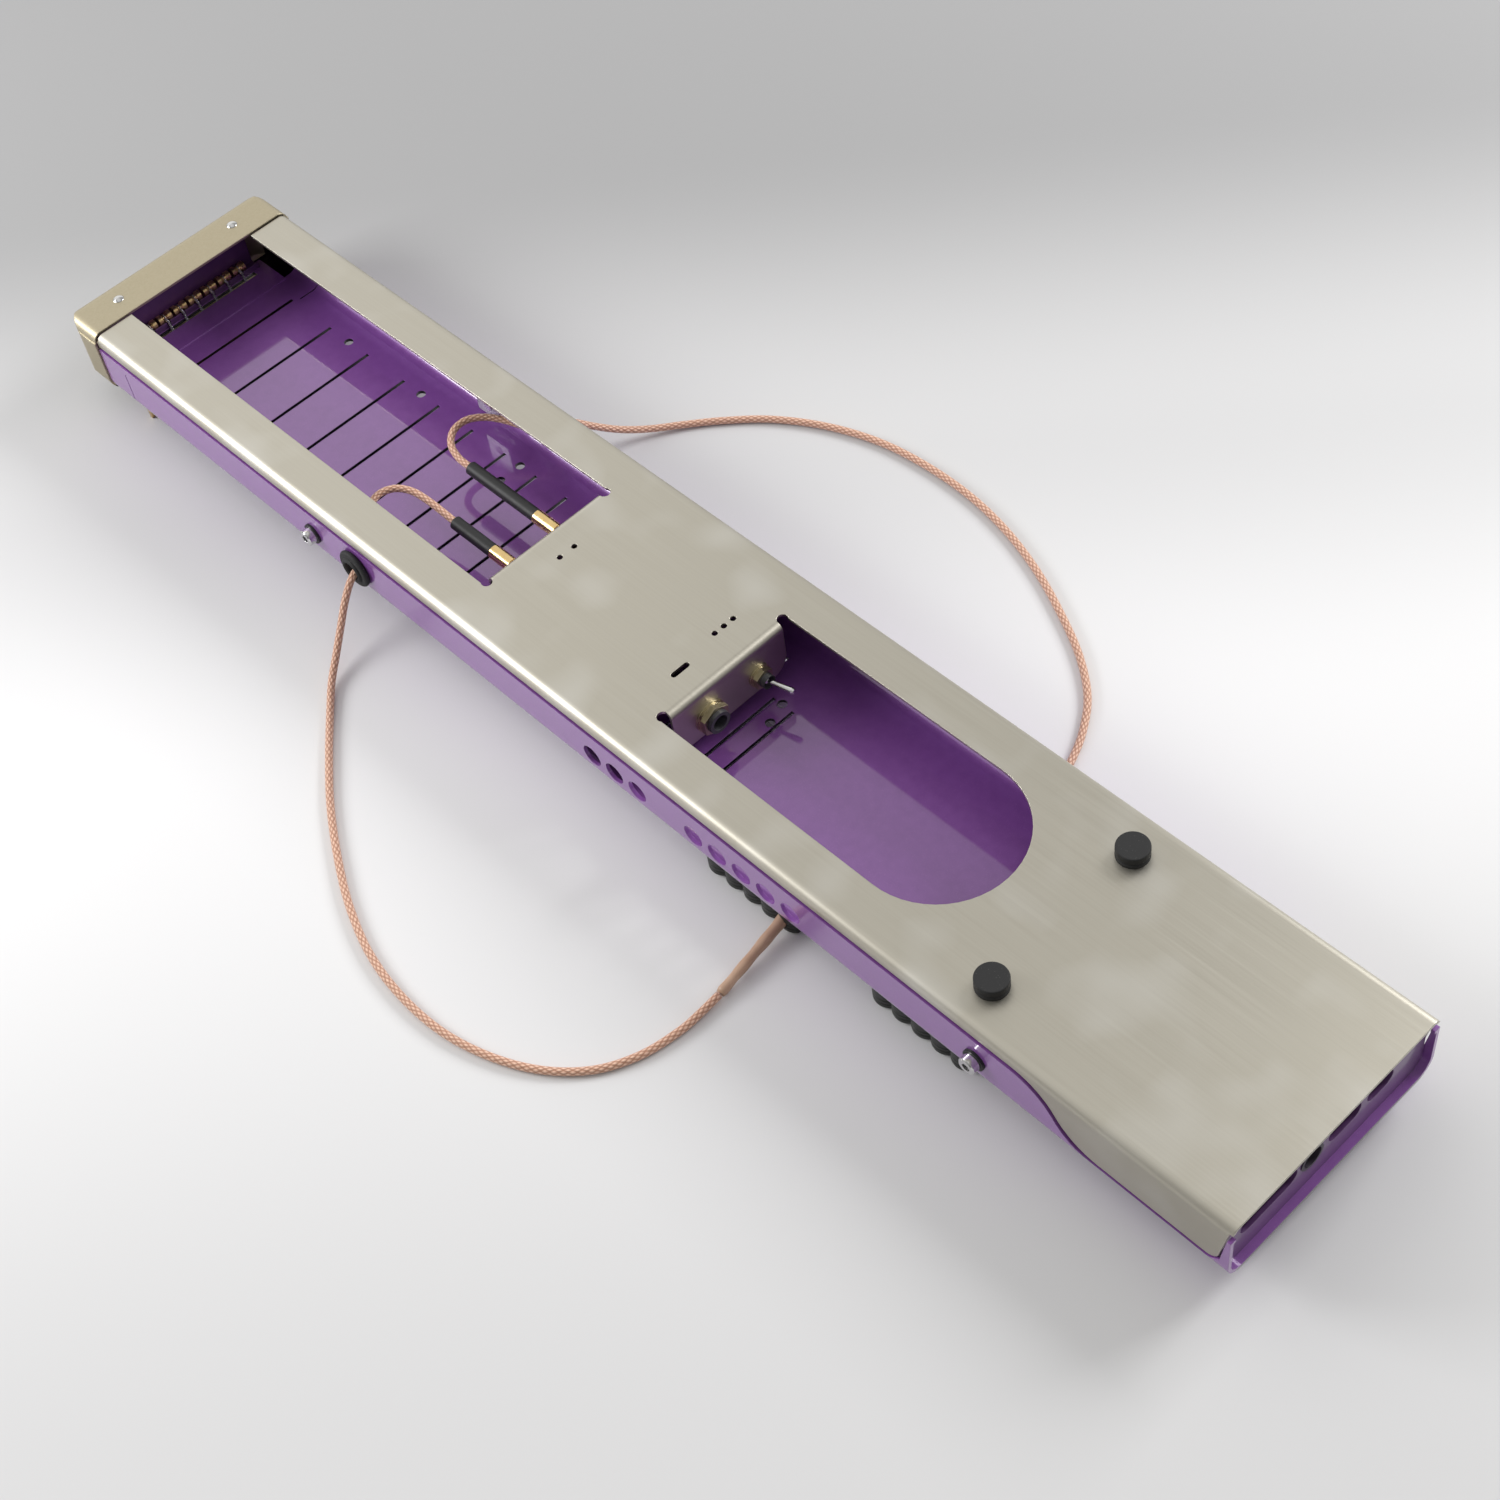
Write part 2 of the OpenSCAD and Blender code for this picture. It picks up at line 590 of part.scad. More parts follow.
// Bent strip: a base with a comb in front of the balls, a back wall, and a flange under the cap's top
module string_anchor() {
    head_z = top_z - cap_t + cap_proud - 0.1;
    color([0.16, 0.13, 0.18]) difference() {
        along_y(-anchor_w / 2, anchor_w / 2) polygon([
            [anchor_u, anchor_z], [anchor_u, head_z - 2.6], [anchor_u + 2.2, head_z],
            [pin_u + 4, head_z], [pin_u + 4, head_z - anchor_t], [anchor_u + 2.5, head_z - anchor_t],
            [anchor_u + anchor_t, head_z - 2.9], [anchor_u + anchor_t, anchor_z + anchor_t],
            [comb_u, anchor_z + anchor_t], [comb_u, comb_z],
            [comb_u + anchor_t, comb_z], [comb_u + anchor_t, anchor_z]]);
        for (i = [0:string_n - 1])
            block([comb_u - 1, string_y(i) - 1, anchor_z + 1.3], [comb_u + anchor_t + 1, string_y(i) + 1, comb_z + 1]);
        for (s = [-1, 1]) rod_z(pin_u, s * pin_y, top_z - 5, top_z + 1, pin_shank_r + fit);
    }
}

module ball_ends() {
    color([0.78, 0.62, 0.32]) for (i = [0:string_n - 1])
        translate([x_at(ball_u), string_y(i) - ball_l / 2, ball_z]) rotate([-90, 0, 0])
            rotate_extrude() difference() {
                square([ball_r, ball_l]);
                translate([ball_r + 0.9, ball_l / 2]) circle(1.7);
            }
}

// The strings run straight through both blades and bend just outside them
knee_in = 1.5;
knee_out = 2.4;
module strings_head() {
    color([0.75, 0.76, 0.78]) for (i = [0:string_n - 1])
        tube([[ball_u + 2.1, string_y(i), ball_z],
              [comb_u + 1.2, string_y(i), comb_z - 0.4],
              [string_slot_u + 0.7, string_y(i), face_z - 1.6],
              [nut_u - knee_out, string_y(i), crest_z + string_d[i] / 2],
              [nut_u - knee_in, string_y(i), crest_z + string_d[i] / 2]], string_d[i] / 2, [0, 1, 0]);
}

module strings_main() {
    color([0.75, 0.76, 0.78]) for (i = [0:string_n - 1])
        strut([nut_u - knee_in + 0.03, string_y(i), crest_z + string_d[i] / 2],
              [bridge_u + knee_in - 0.03, string_y(i), crest_z + string_d[i] / 2], string_d[i] / 2, string_d[i] / 2);
}

module strings_tail() {
    color([0.75, 0.76, 0.78]) for (i = [0:string_n - 1])
        tube([[bridge_u + knee_in, string_y(i), crest_z + string_d[i] / 2],
              [bridge_u + knee_out, string_y(i), crest_z + string_d[i] / 2],
              [lip_u - 1.2, string_y(i), string_z],
              [string_end_u, string_y(i), string_z]], string_d[i] / 2, [0, 1, 0]);
}

// A brass blade that tapers to a rounded crest, with a groove for each string.
// It stands on its crest, so the strings pass just inside it.
module blade(u, l, grooved) {
    difference() {
        union() {
            along_y(-l / 2, l / 2) {
                polygon([[u - blade_w / 2, face_z - eps], [u - tip_w / 2, tip_w / 2],
                         [u + tip_w / 2, tip_w / 2], [u + blade_w / 2, face_z - eps]]);
                translate([u, tip_w / 2]) circle(tip_w / 2);
            }
        }
        if (grooved) block([u - groove_w / 2, -fret_slot_l / 2, face_z - groove_depth],
                           [u + groove_w / 2, fret_slot_l / 2, face_z + 1]);
        for (i = [0:string_n - 1])
            rod_x(u - blade_w, u + blade_w, string_y(i), crest_z + string_d[i] / 2, string_d[i] / 2 + fit);
        for (i = [0:string_n - 1])
            block([u - blade_w, string_y(i) - string_d[i] / 2 - fit, -1],
                  [u + blade_w, string_y(i) + string_d[i] / 2 + fit, crest_z + string_d[i] / 2]);
    }
}

module nut() {
    color([0.80, 0.64, 0.34]) blade(nut_u, nut_l, true);
}

module bridge() {
    color([0.80, 0.64, 0.34]) blade(bridge_u, bridge_l, false);
}

module edge_gasket() {
    color([0.05, 0.05, 0.05]) for (s = [-1, 1])
        block([seam_gap / 2, s > 0 ? half_w - lip_w + 0.4 : -half_w + plate_t, lip_z],
              [tail_u - deep_flange_l - 2, s > 0 ? half_w - plate_t : -half_w + lip_w - 0.4, flange_z]);
}

// Brackets under the plate: they reach round the lip, and the side screws pull the shell to them
bracket_l = 14;
bracket_t = 2;
module side_brackets() {
    leg_y = half_w - lip_w - gap;
    reach_y = side_y - shell_t - 0.1;
    color([0.70, 0.70, 0.70]) for (s = [-1, 1]) for (u = side_screw_u) difference() {
        along_x(u - bracket_l / 2, u + bracket_l / 2) scale([s, 1]) {
            translate([leg_y - 5, under_z - bracket_t]) square([5, bracket_t]);
            translate([leg_y - bracket_t, side_z - 5]) square([bracket_t, under_z - side_z + 5]);
            translate([leg_y - bracket_t, side_z - 5]) square([reach_y - leg_y + bracket_t, 10]);
        }
        rod_y(u, s > 0 ? leg_y - 8 : -half_w, s > 0 ? half_w : -leg_y + 8, side_z, side_shank_r + fit);
    }
}

side_shank_r = 2;
side_head_h = 3.4;
washer_t = 1;
module side_screws() {
    color([0.82, 0.82, 0.84]) for (s = [-1, 1]) for (u = side_screw_u)
        translate([x_at(u), s * side_y, side_z]) rotate([s > 0 ? -90 : 90, 0, 0]) difference() {
            union() {
                translate([0, 0, -lip_w - bracket_t - 1]) cylinder(h = lip_w + bracket_t + 1 + washer_t, r = side_shank_r);
                translate([0, 0, washer_t]) cylinder(h = side_head_h - 0.5, r = side_head_d / 2);
                translate([0, 0, washer_t + side_head_h - 0.5 - eps])
                    cylinder(h = 0.5, r1 = side_head_d / 2, r2 = side_head_d / 2 - 0.5);
            }
            translate([0, 0, washer_t + side_head_h - 2]) cylinder(h = 3, r = side_head_d / 4, $fn = 6);
        }
}

module screw_washers() {
    color([0.05, 0.05, 0.05]) for (s = [-1, 1]) for (u = side_screw_u)
        translate([x_at(u), s * side_y, side_z]) rotate([s > 0 ? -90 : 90, 0, 0]) difference() {
            cylinder(h = washer_t, r = washer_d / 2);
            translate([0, 0, -1]) cylinder(h = washer_t + 2, r = side_shank_r + fit);
        }
}

foot_stud_r = 1.6;
module rubber_feet() {
    color([0.09, 0.09, 0.09]) for (s = [-1, 1]) translate([x_at(foot_u), s * foot_y, top_z]) {
        rotate_extrude() difference() {
            square([foot_d / 2, foot_h]);
            translate([foot_d / 2 + 0.4, 1.9]) circle(0.8);
            translate([foot_d / 2 - 0.5, foot_h - 0.5]) difference() {
                square([1, 1]);
                circle(0.5);
            }
        }
        translate([0, 0, -plate_t - 0.8]) cylinder(h = plate_t + 1, r = foot_stud_r - fit);
        translate([0, 0, -plate_t - 2]) cylinder(h = 1.9, r1 = foot_stud_r - 0.2, r2 = foot_stud_r + 0.6);
    }
}

jack_nose_r = 4.75;
jack_body_r = 6.3;
module jack_body() {
    color([0.20, 0.20, 0.22]) difference() {
        union() {
            rod_x(window_2_u - plate_t - 1, window_2_u + jack_nose, -jack_y, ctrl_z, jack_nose_r);
            rod_x(window_2_u + jack_nose - jack_bore_l - 3, window_2_u - plate_t, -jack_y, ctrl_z, jack_body_r);
            for (k = [-1:1])
                block([window_2_u + jack_nose - jack_bore_l - 8, -jack_y + 3.4 * k - 0.9, ctrl_z - 0.3],
                      [window_2_u + jack_nose - jack_bore_l - 2.9, -jack_y + 3.4 * k + 0.9, ctrl_z + 0.3]);
        }
        rod_x(window_2_u + jack_nose - jack_bore_l, window_2_u + jack_nose + 1, -jack_y, ctrl_z, jack_bore_d / 2);
    }
}

jack_nut_af = 11.6;
module jack_nut() {
    color([0.75, 0.60, 0.36]) difference() {
        union() {
            rod_x(window_2_u, window_2_u + 0.8, -jack_y, ctrl_z, 6.9);
            rod_x(window_2_u + 0.8 - eps, window_2_u + 1.6, -jack_y, ctrl_z, 6.2);
            translate([x_at(window_2_u + 1.6 - eps), -jack_y, ctrl_z]) rotate([0, 90, 0])
                cylinder(h = 2.2, r = jack_nut_af / 2 / cos(30), $fn = 6);
        }
        rod_x(window_2_u - 1, window_2_u + 6, -jack_y, ctrl_z, jack_nose_r + fit);
    }
}

bushing_r = 2.9;
bushing_bore_r = 2.2;
module toggle_body() {
    color([0.42, 0.42, 0.44]) difference() {
        union() {
            rod_x(window_2_u - plate_t - 1, window_2_u + 5.6, toggle_y, ctrl_z, bushing_r);
            block([window_2_u - plate_t - 9, toggle_y - 6.5, ctrl_z - 4], [window_2_u - plate_t, toggle_y + 6.5, ctrl_z + 4]);
            for (k = [-1:1])
                block([window_2_u - plate_t - 13, toggle_y + 4 * k - 0.8, ctrl_z - 0.3],
                      [window_2_u - plate_t - 8.9, toggle_y + 4 * k + 0.8, ctrl_z + 0.3]);
        }
        rod_x(window_2_u - plate_t - 1.5, window_2_u + 7, toggle_y, ctrl_z, bushing_bore_r);
        translate([x_at(window_2_u + 3.6), toggle_y, ctrl_z]) rotate([0, 90, 0])
            cylinder(h = 2.1, r1 = bushing_bore_r, r2 = bushing_r - 0.2);
    }
}

toggle_nut_af = 7.8;
module toggle_nut() {
    color([0.75, 0.60, 0.36]) difference() {
        union() {
            rod_x(window_2_u, window_2_u + 0.7, toggle_y, ctrl_z, 4.9);
            rod_x(window_2_u + 0.7 - eps, window_2_u + 1.3, toggle_y, ctrl_z, 4.3);
            translate([x_at(window_2_u + 1.3 - eps), toggle_y, ctrl_z]) rotate([0, 90, 0])
                cylinder(h = 2, r = toggle_nut_af / 2 / cos(30), $fn = 6);
        }
        rod_x(window_2_u - 1, window_2_u + 5, toggle_y, ctrl_z, bushing_r + fit);
    }
}

// Lever with its ball in the bushing, tilted towards the far side
module toggle_lever() {
    color([0.84, 0.84, 0.86])
        translate([x_at(window_2_u + toggle_pivot), toggle_y, ctrl_z]) rotate([0, 0, toggle_tilt]) rotate([0, 90, 0])
            rotate_extrude() {
                intersection() {
                    circle(bushing_bore_r - 0.15);
                    translate([0, -5]) square([5, 10]);
                }
                polygon([[0, 0], [1, 0], [0.9, 5], [1.35, toggle_len - 1.2], [1.1, toggle_len - 0.3], [0.6, toggle_len], [0, toggle_len]]);
            }
    // pivot pin across the ball
    color([0.84, 0.84, 0.86])
        rod_z(window_2_u + toggle_pivot, toggle_y, ctrl_z - bushing_bore_r + 0.12, ctrl_z + bushing_bore_r - 0.12, 0.6);
}

socket_r = 3.2;
socket_nut_af = 8;
module sockets() {
    color([0.80, 0.66, 0.36]) for (s = [-1, 1]) difference() {
        union() {
            rod_x(window_1_l - 1.6, window_1_l + 12, s * socket_y, socket_z, socket_r);
            translate([x_at(window_1_l - 1.6), s * socket_y, socket_z]) rotate([0, 90, 0])
                cylinder(h = 1.6, r = socket_nut_af / 2 / cos(30), $fn = 6);
            rod_x(window_1_l + plate_t, window_1_l + 4, s * socket_y, socket_z, socket_r + 1);
            rod_x(window_1_l + 11.9, window_1_l + 16, s * socket_y, socket_z, 0.8);
        }
        rod_x(window_1_l - 3, window_1_l + 9, s * socket_y, socket_z, 1.3);
    }
}

// Wires under the plate: sockets to the switch, switch to the jack
wire_r = 0.6;
module wiring() {
    sock = window_1_l + 16;
    lug = window_2_u - plate_t - 13;
    jack_lug = window_2_u + jack_nose - jack_bore_l - 8;
    color([0.75, 0.2, 0.2]) {
        tube([[sock + 0.45, -socket_y, socket_z], [sock + 8, -socket_y, socket_z + 2],
              [sock + 34, -socket_y + 14, under_z - 2], [lug - 9, toggle_y - 4, ctrl_z + 5],
              [lug - 0.45, toggle_y - 4, ctrl_z]], wire_r, [0, 0, 1]);
        tube([[sock + 0.45, socket_y, socket_z], [sock + 8, socket_y, socket_z + 2],
              [sock + 34, socket_y + 6, under_z - 2], [lug - 9, toggle_y + 4, ctrl_z + 5],
              [lug - 0.45, toggle_y + 4, ctrl_z]], wire_r, [0, 0, 1]);
        tube([[jack_lug - 0.45, -jack_y, ctrl_z], [jack_lug - 5, -jack_y, ctrl_z - 1],
              [jack_lug - 8, 0, ctrl_z - 5], [jack_lug - 5, toggle_y - 5, ctrl_z - 3],
              [lug - 6, toggle_y - 1, ctrl_z - 1], [lug - 0.45, toggle_y, ctrl_z]], wire_r, [0, 0, 1]);
    }
}

// Gold plug with a waist, a knurled ring and a pin in the socket
module plug(y, u0) {
    rod_x(u0, plug_end_u - 6, y, socket_z, 3);
    rod_x(plug_end_u - 6 - eps, plug_end_u, y, socket_z, 2.5);
    rod_x(plug_end_u - 2.4, plug_end_u - 1, y, socket_z, 2.9);
    rod_x(plug_end_u - 1, window_1_l + 8, y, socket_z, 1.2);
}

module plug_near() {
    color([0.83, 0.68, 0.32]) plug(-socket_y, sleeve_near_u);
}

module plug_far() {
    color([0.83, 0.68, 0.32]) plug(socket_y, sleeve_far_u);
}

module sleeve_near() {
    color([0.08, 0.08, 0.08]) rod_x(near_route[0][0], sleeve_near_u, -socket_y, socket_z, sleeve_r);
}

module sleeve_far() {
    color([0.08, 0.08, 0.08]) rod_x(far_route[0][0], sleeve_far_u, socket_y, socket_z, sleeve_r);
}

module cord_near() {
    color([0.78, 0.56, 0.44]) tube(near_route, cord_d / 2, [0, 0, 1]);
}

module cord_far() {
    color([0.78, 0.56, 0.44]) tube(far_route, cord_d / 2, [0, 0, 1]);
}

// Rubber grommet: two round flanges and a neck that clips into the sheet
grommet_neck_r = 5.4;
module grommet(s) {
    translate([x_at(grommet_u), s * side_y, grommet_z]) rotate([s > 0 ? -90 : 90, 0, 0]) rotate_extrude() difference() {
        union() {
            translate([cord_hole_r, -shell_t - 0.1]) square([grommet_neck_r - cord_hole_r, shell_t + 0.2]);
            translate([cord_hole_r, -shell_t - 2]) square([grommet_d / 2 - 1.6 - cord_hole_r, 1.9]);
            translate([cord_hole_r, 0.05]) square([grommet_d / 2 - 1.2 - cord_hole_r, 2.4]);
            translate([grommet_d / 2 - 1.2, 1.25]) circle(1.2);
            translate([cord_hole_r + 1, 2.4]) circle(1);
        }
        translate([cord_hole_r, -shell_t - 2]) circle(0.6);
    }
}

module grommet_near() {
    color([0.07, 0.07, 0.07]) grommet(-1);
}

module grommet_far() {
    color([0.07, 0.07, 0.07]) grommet(1);
}

// Pickup: a low bar under the strings with a scalloped, ribbed block at each end
lobe_y = pickup_w / 2 - lobe_r;
module pickup_case(k) {
    u0 = pickup_u[k];
    color([0.07, 0.08, 0.07]) difference() {
        union() {
            block([u0, -end_block_y - eps, pickup_z - pickup_h], [u0 + pickup_l, end_block_y + eps, pickup_z]);
            intersection() {
                union() {
                    for (s = [-1, 1]) {
                        translate([0, s > 0 ? end_block_y : -lobe_y - lobe_r / 2, 0])
                            block([u0, 0, lobe_low], [u0 + pickup_l, lobe_y + lobe_r / 2 - end_block_y, pickup_z]);
                        for (j = [0:lobe_count - 1])
                            translate([x_at(u0 + (j + 0.5) * lobe_pitch), s * lobe_y, lobe_low])
                                rotate_extrude() difference() {
                                    square([lobe_r, pickup_z - lobe_low]);
                                    for (z = [2.6, 4.6]) translate([lobe_r + 0.25, z]) circle(0.55);
                                    translate([lobe_r - 0.8, 0.8]) difference() {
                                        translate([0, -1.6]) square([1.6, 1.6]);
                                        circle(0.8);
                                    }
                                }
                    }
                }
                block([u0, -half_w, -1], [u0 + pickup_l, half_w, pickup_z + 1]);
            }
        }
        // seats of the blade and the magnets
        block([u0 + 8, -core_l / 2 - fit, pickup_z - pickup_h - 1], [u0 + pickup_l - 8, core_l / 2 + fit, pickup_z - pickup_h + 1.2]);
        for (s = [-1, 1]) rod_z(u0 + pickup_l / 2, s * magnet_y, pickup_z - 3, pickup_z + 1, magnet_r + fit);
        if (k == 0) strut(relief_1_end, relief_1_tip, relief_r_thick + fit, relief_r_thick + fit);
        if (k == 1) strut(relief_2_end, relief_2_tip, relief_r_thick + fit, relief_r_thick + fit);
    }
}

// Steel blade under the strings and the two magnets that hold the pickup to the shell
magnet_r = 5;
module pickup_core(k) {
    u0 = pickup_u[k];
    color([0.62, 0.62, 0.64]) {
        block([u0 + 8, -core_l / 2, pickup_z - pickup_h], [u0 + pickup_l - 8, core_l / 2, pickup_z - pickup_h + 1.2]);
        block([u0 + pickup_l / 2 - 1.5, -core_l / 2 + 2, pickup_z - pickup_h - 0.6],
              [u0 + pickup_l / 2 + 1.5, core_l / 2 - 2, pickup_z - pickup_h + 0.1]);
        for (s = [-1, 1]) rod_z(u0 + pickup_l / 2, s * magnet_y, pickup_z - 3, pickup_z, magnet_r);
    }
}

module pickup_1_case() {
    pickup_case(0);
}

module pickup_1_core() {
    pickup_core(0);
}

module pickup_2_case() {
    pickup_case(1);
}

module pickup_2_core() {
    pickup_core(1);
}

// Tapered strain reliefs between pickup and cord
module relief_1() {
    color([0.74, 0.60, 0.48]) strut(relief_1_end, relief_1_tip, relief_r_thick, relief_r_thin);
}

module relief_2() {
    color([0.74, 0.60, 0.48]) strut(relief_2_end, relief_2_tip, relief_r_thick, relief_r_thin);
}

// Tuner frame: base, rounded lip that the strings bend over, and rear wall with the screw bores
module tuner_frame() {
    color([0.60, 0.60, 0.62]) difference() {
        union() {
            block([frame_u, -frame_w / 2, floor_z], [rear_u + rear_t, frame_w / 2, floor_z + base_t]);
            block([lip_u - lip_r, -frame_w / 2, floor_z], [lip_u + lip_r, frame_w / 2, string_z - lip_gap - lip_r]);
            rod_y(lip_u, -frame_w / 2, frame_w / 2, string_z - lip_gap - lip_r, lip_r);
            block([rear_u, -frame_w / 2, floor_z], [rear_u + rear_t, frame_w / 2, string_z + 2]);
        }
        for (i = [0:string_n - 1])
            rod_x(lip_u - 1, rear_u + rear_t + 1, string_y(i), screw_z, screw_d / 2 + fit);
    }
}

module tuner_screw(i) {
    y = string_y(i);
    color([0.78, 0.63, 0.34]) difference() {
        union() {
            rod_x(lip_u + 0.2, knob_u + eps, y, screw_z, screw_d / 2);
            rod_x(knob_u, knob_u + knob_l, y, screw_z, knob_d / 2 - 0.25);
            for (k = [0:2])
                rod_x(knob_u + 0.8 + k * knob_l * 0.32, knob_u + 0.8 + k * knob_l * 0.32 + knob_l * 0.22, y, screw_z, knob_d / 2);
        }
        translate([x_at(knob_u + knob_l - 3), y, screw_z]) rotate([0, 90, 0]) cylinder(h = 4, r = 1.45, $fn = 6);
    }
}

module carriage(i) {
    y = string_y(i);
    color([0.70, 0.70, 0.72]) difference() {
        block([carriage_u, y - carriage_w / 2, carriage_z], [carriage_u + carriage_l, y + carriage_w / 2, carriage_z + carriage_h]);
        rod_x(carriage_u - 1, carriage_u + carriage_l + 1, y, screw_z, screw_d / 2 + fit);
        rod_x(carriage_u - 1, carriage_u + carriage_l + 1, y, string_z, string_d[i] / 2 + 0.2);
    }
}

pin_shank_r = 1.4;
dot_r = 2;

// Thin eyelet in the round hole of the tail wall
module tail_eyelet() {
    color([0.30, 0.28, 0.32]) translate([x_at(tail_u - tail_recess), tail_hole_y, tail_slot_z]) rotate([0, 90, 0]) rotate_extrude() {
        translate([tail_hole_r - 1.4, -shell_t - 0.6]) square([0.4, shell_t + 1]);
        translate([tail_hole_r - 1.4, 0]) square([1.2, 0.4]);
    }
}

back_plate();
front_shell();
head_cap();
cap_pins();
string_anchor();
ball_ends();
strings_head();
strings_main();
strings_tail();
nut();
bridge();
edge_gasket();
side_brackets();
side_screws();
screw_washers();
rubber_feet();
jack_body();
jack_nut();
toggle_body();
toggle_nut();
toggle_lever();
sockets();
wiring();
plug_near();
plug_far();
sleeve_near();
sleeve_far();
cord_near();
cord_far();
grommet_near();
grommet_far();
pickup_1_case();
pickup_1_core();
pickup_2_case();
pickup_2_core();
relief_1();
relief_2();
tuner_frame();
tail_wall();
tail_eyelet();
for (i = [0:7]) tuner_screw(i);
for (i = [0:7]) carriage(i);
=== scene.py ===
# %% [markdown]
# # A lap steel guitar of folded sheet, dressed for the camera
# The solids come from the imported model: a steel back, a purple shell, a nickel cap and many small fittings.
# Here they get their finishes, and the things that solids don't show well are added: braided cords,
# knurling, the twisted ends of the strings. Lengths are metres in the frame of the solids, apart from
# places on the body, which count millimetres.

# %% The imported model
import math
import bpy
from mathutils import Matrix, Vector


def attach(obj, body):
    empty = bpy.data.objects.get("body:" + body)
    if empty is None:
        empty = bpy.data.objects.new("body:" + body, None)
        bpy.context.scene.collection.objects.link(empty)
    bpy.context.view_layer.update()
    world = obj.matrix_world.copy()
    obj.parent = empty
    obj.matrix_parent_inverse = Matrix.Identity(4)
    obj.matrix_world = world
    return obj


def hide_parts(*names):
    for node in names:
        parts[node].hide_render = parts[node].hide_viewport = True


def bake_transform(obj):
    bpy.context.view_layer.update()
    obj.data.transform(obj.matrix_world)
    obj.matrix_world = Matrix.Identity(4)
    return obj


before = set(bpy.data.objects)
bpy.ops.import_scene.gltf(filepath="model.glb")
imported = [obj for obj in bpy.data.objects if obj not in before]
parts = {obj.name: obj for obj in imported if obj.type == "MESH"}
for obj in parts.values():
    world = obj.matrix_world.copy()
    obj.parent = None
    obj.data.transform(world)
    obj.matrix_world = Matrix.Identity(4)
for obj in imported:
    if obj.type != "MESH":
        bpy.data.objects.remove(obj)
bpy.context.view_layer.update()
scene = bpy.context.scene

# %% [markdown]
# The drawings count along the body from the seam between cap and shell, in millimetres, and upwards
# from the surface that nut and bridge rest on. One helper turns such a place into metres, so that the
# numbers below can be read beside the source of the solids. Strings, tuning screws and plugs stand in
# rows, so the measures that they share are named once.

# %% Places on the body
SEAM_X = -0.288
TAIL_U = 597
STRINGS, STRING_PITCH = 8, 8
STRING_NUMBERS = range(1, STRINGS + 1)
SCREW_Z = 16
PLUG_Y, PLUG_Z = 11.5, 26


def place(u, y, z):
    return Vector((SEAM_X + u / 1000, y / 1000, z / 1000))


def string_y(number):
    return (number - (STRINGS + 1) / 2) * STRING_PITCH


print("tail face at", tuple(round(v, 4) for v in place(TAIL_U, 0, 0)))

# %% [markdown]
# ## Camera
# The camera was solved from the long edges and window rims of the real body: a 59 mm lens on a 36 mm
# sensor, above the near side and past the tail. A matrix is clearer than angles here, because its
# columns are simply the camera's right, up and back directions.

# %% Camera
RIGHT = Vector((0.69145282, 0.71459714, -0.10603740))
UP = Vector((-0.52387944, 0.59705931, 0.60751173))
BACK = Vector((0.49743676, -0.36451489, 0.78720109))
EYE = Vector((0.495225, -0.329108, 0.708617))

camera_data = bpy.data.cameras.new("camera")
camera_data.lens = 58.997
camera_data.sensor_width = 36.0
camera_data.clip_start = 0.01
camera = bpy.data.objects.new("camera", camera_data)
scene.collection.objects.link(camera)
turn = Matrix((RIGHT, UP, BACK)).transposed().to_4x4()
camera.matrix_world = Matrix.Translation(EYE) @ turn
scene.camera = camera
print("camera stands", round(EYE.length, 3), "m from the middle of the body")

# %% [markdown]
# ## Pickup cords
# Each pickup has its own cord: out of a grommet in the side, in a wide loop over the table, and under
# the strings into the pickup. The points of its route are given, most of them where the photo
# shows the cord. A spline that passes through every point joins them without kinks.

# %% Routes of the cords
NEAR_ROUTE = [
    (186, -11.5, 26), (178, -11.5, 26.6), (170, -12, 27.8), (162, -13.5, 29), (156, -17.5, 29.6),
    (153.6, -24, 29.4), (156, -31, 28.2), (162, -37, 26.4), (168, -41.6, 24.8), (171.4, -46.6, 24),
    (172.4, -51, 23.2), (173.6, -56, 21), (176, -62, 16.4), (180, -69, 10.6), (185.4, -77, 5.6),
    (192.4, -85.6, 2.6), (203, -95, 1.6), (219, -108, 1.6), (237, -121.5, 1.6), (257, -134, 1.6),
    (278, -145, 1.6), (300, -153, 1.6), (322, -156.5, 1.6), (344, -156, 1.6), (364, -151, 1.6),
    (381, -142.5, 1.6), (394, -130.5, 1.6), (401.5, -116, 1.6), (404.5, -101, 1.7), (404.7, -91, 1.9),
    (404.4, -82, 2.3)]
FAR_ROUTE = [
    (168, 11.5, 26), (160, 11.6, 26.4), (153, 13.8, 27.4), (148.6, 19, 28.4), (148.2, 26, 28.6),
    (152, 32.4, 27.8), (158, 37, 26.6), (164.4, 40.4, 25.2), (169.6, 44.4, 24.2), (172, 49, 23.6),
    (173, 53.6, 22.4), (175, 59, 19), (178.4, 66, 13.6), (182.6, 74.6, 8), (188, 85, 3.8),
    (195.4, 96.6, 2), (206, 109, 1.6), (221, 122.5, 1.6), (241, 134, 1.6), (264, 141.5, 1.6),
    (288, 144, 1.6), (312, 143, 1.6), (335, 138.5, 1.6), (357, 131, 1.6), (378, 121, 1.6),
    (397, 110, 1.6), (412, 97.5, 1.6), (421.5, 84, 1.6), (427, 72, 1.7), (430, 62, 2), (432.5, 53.5, 2.5)]
CORD_D = 0.003
CORD_STEP = 0.0015


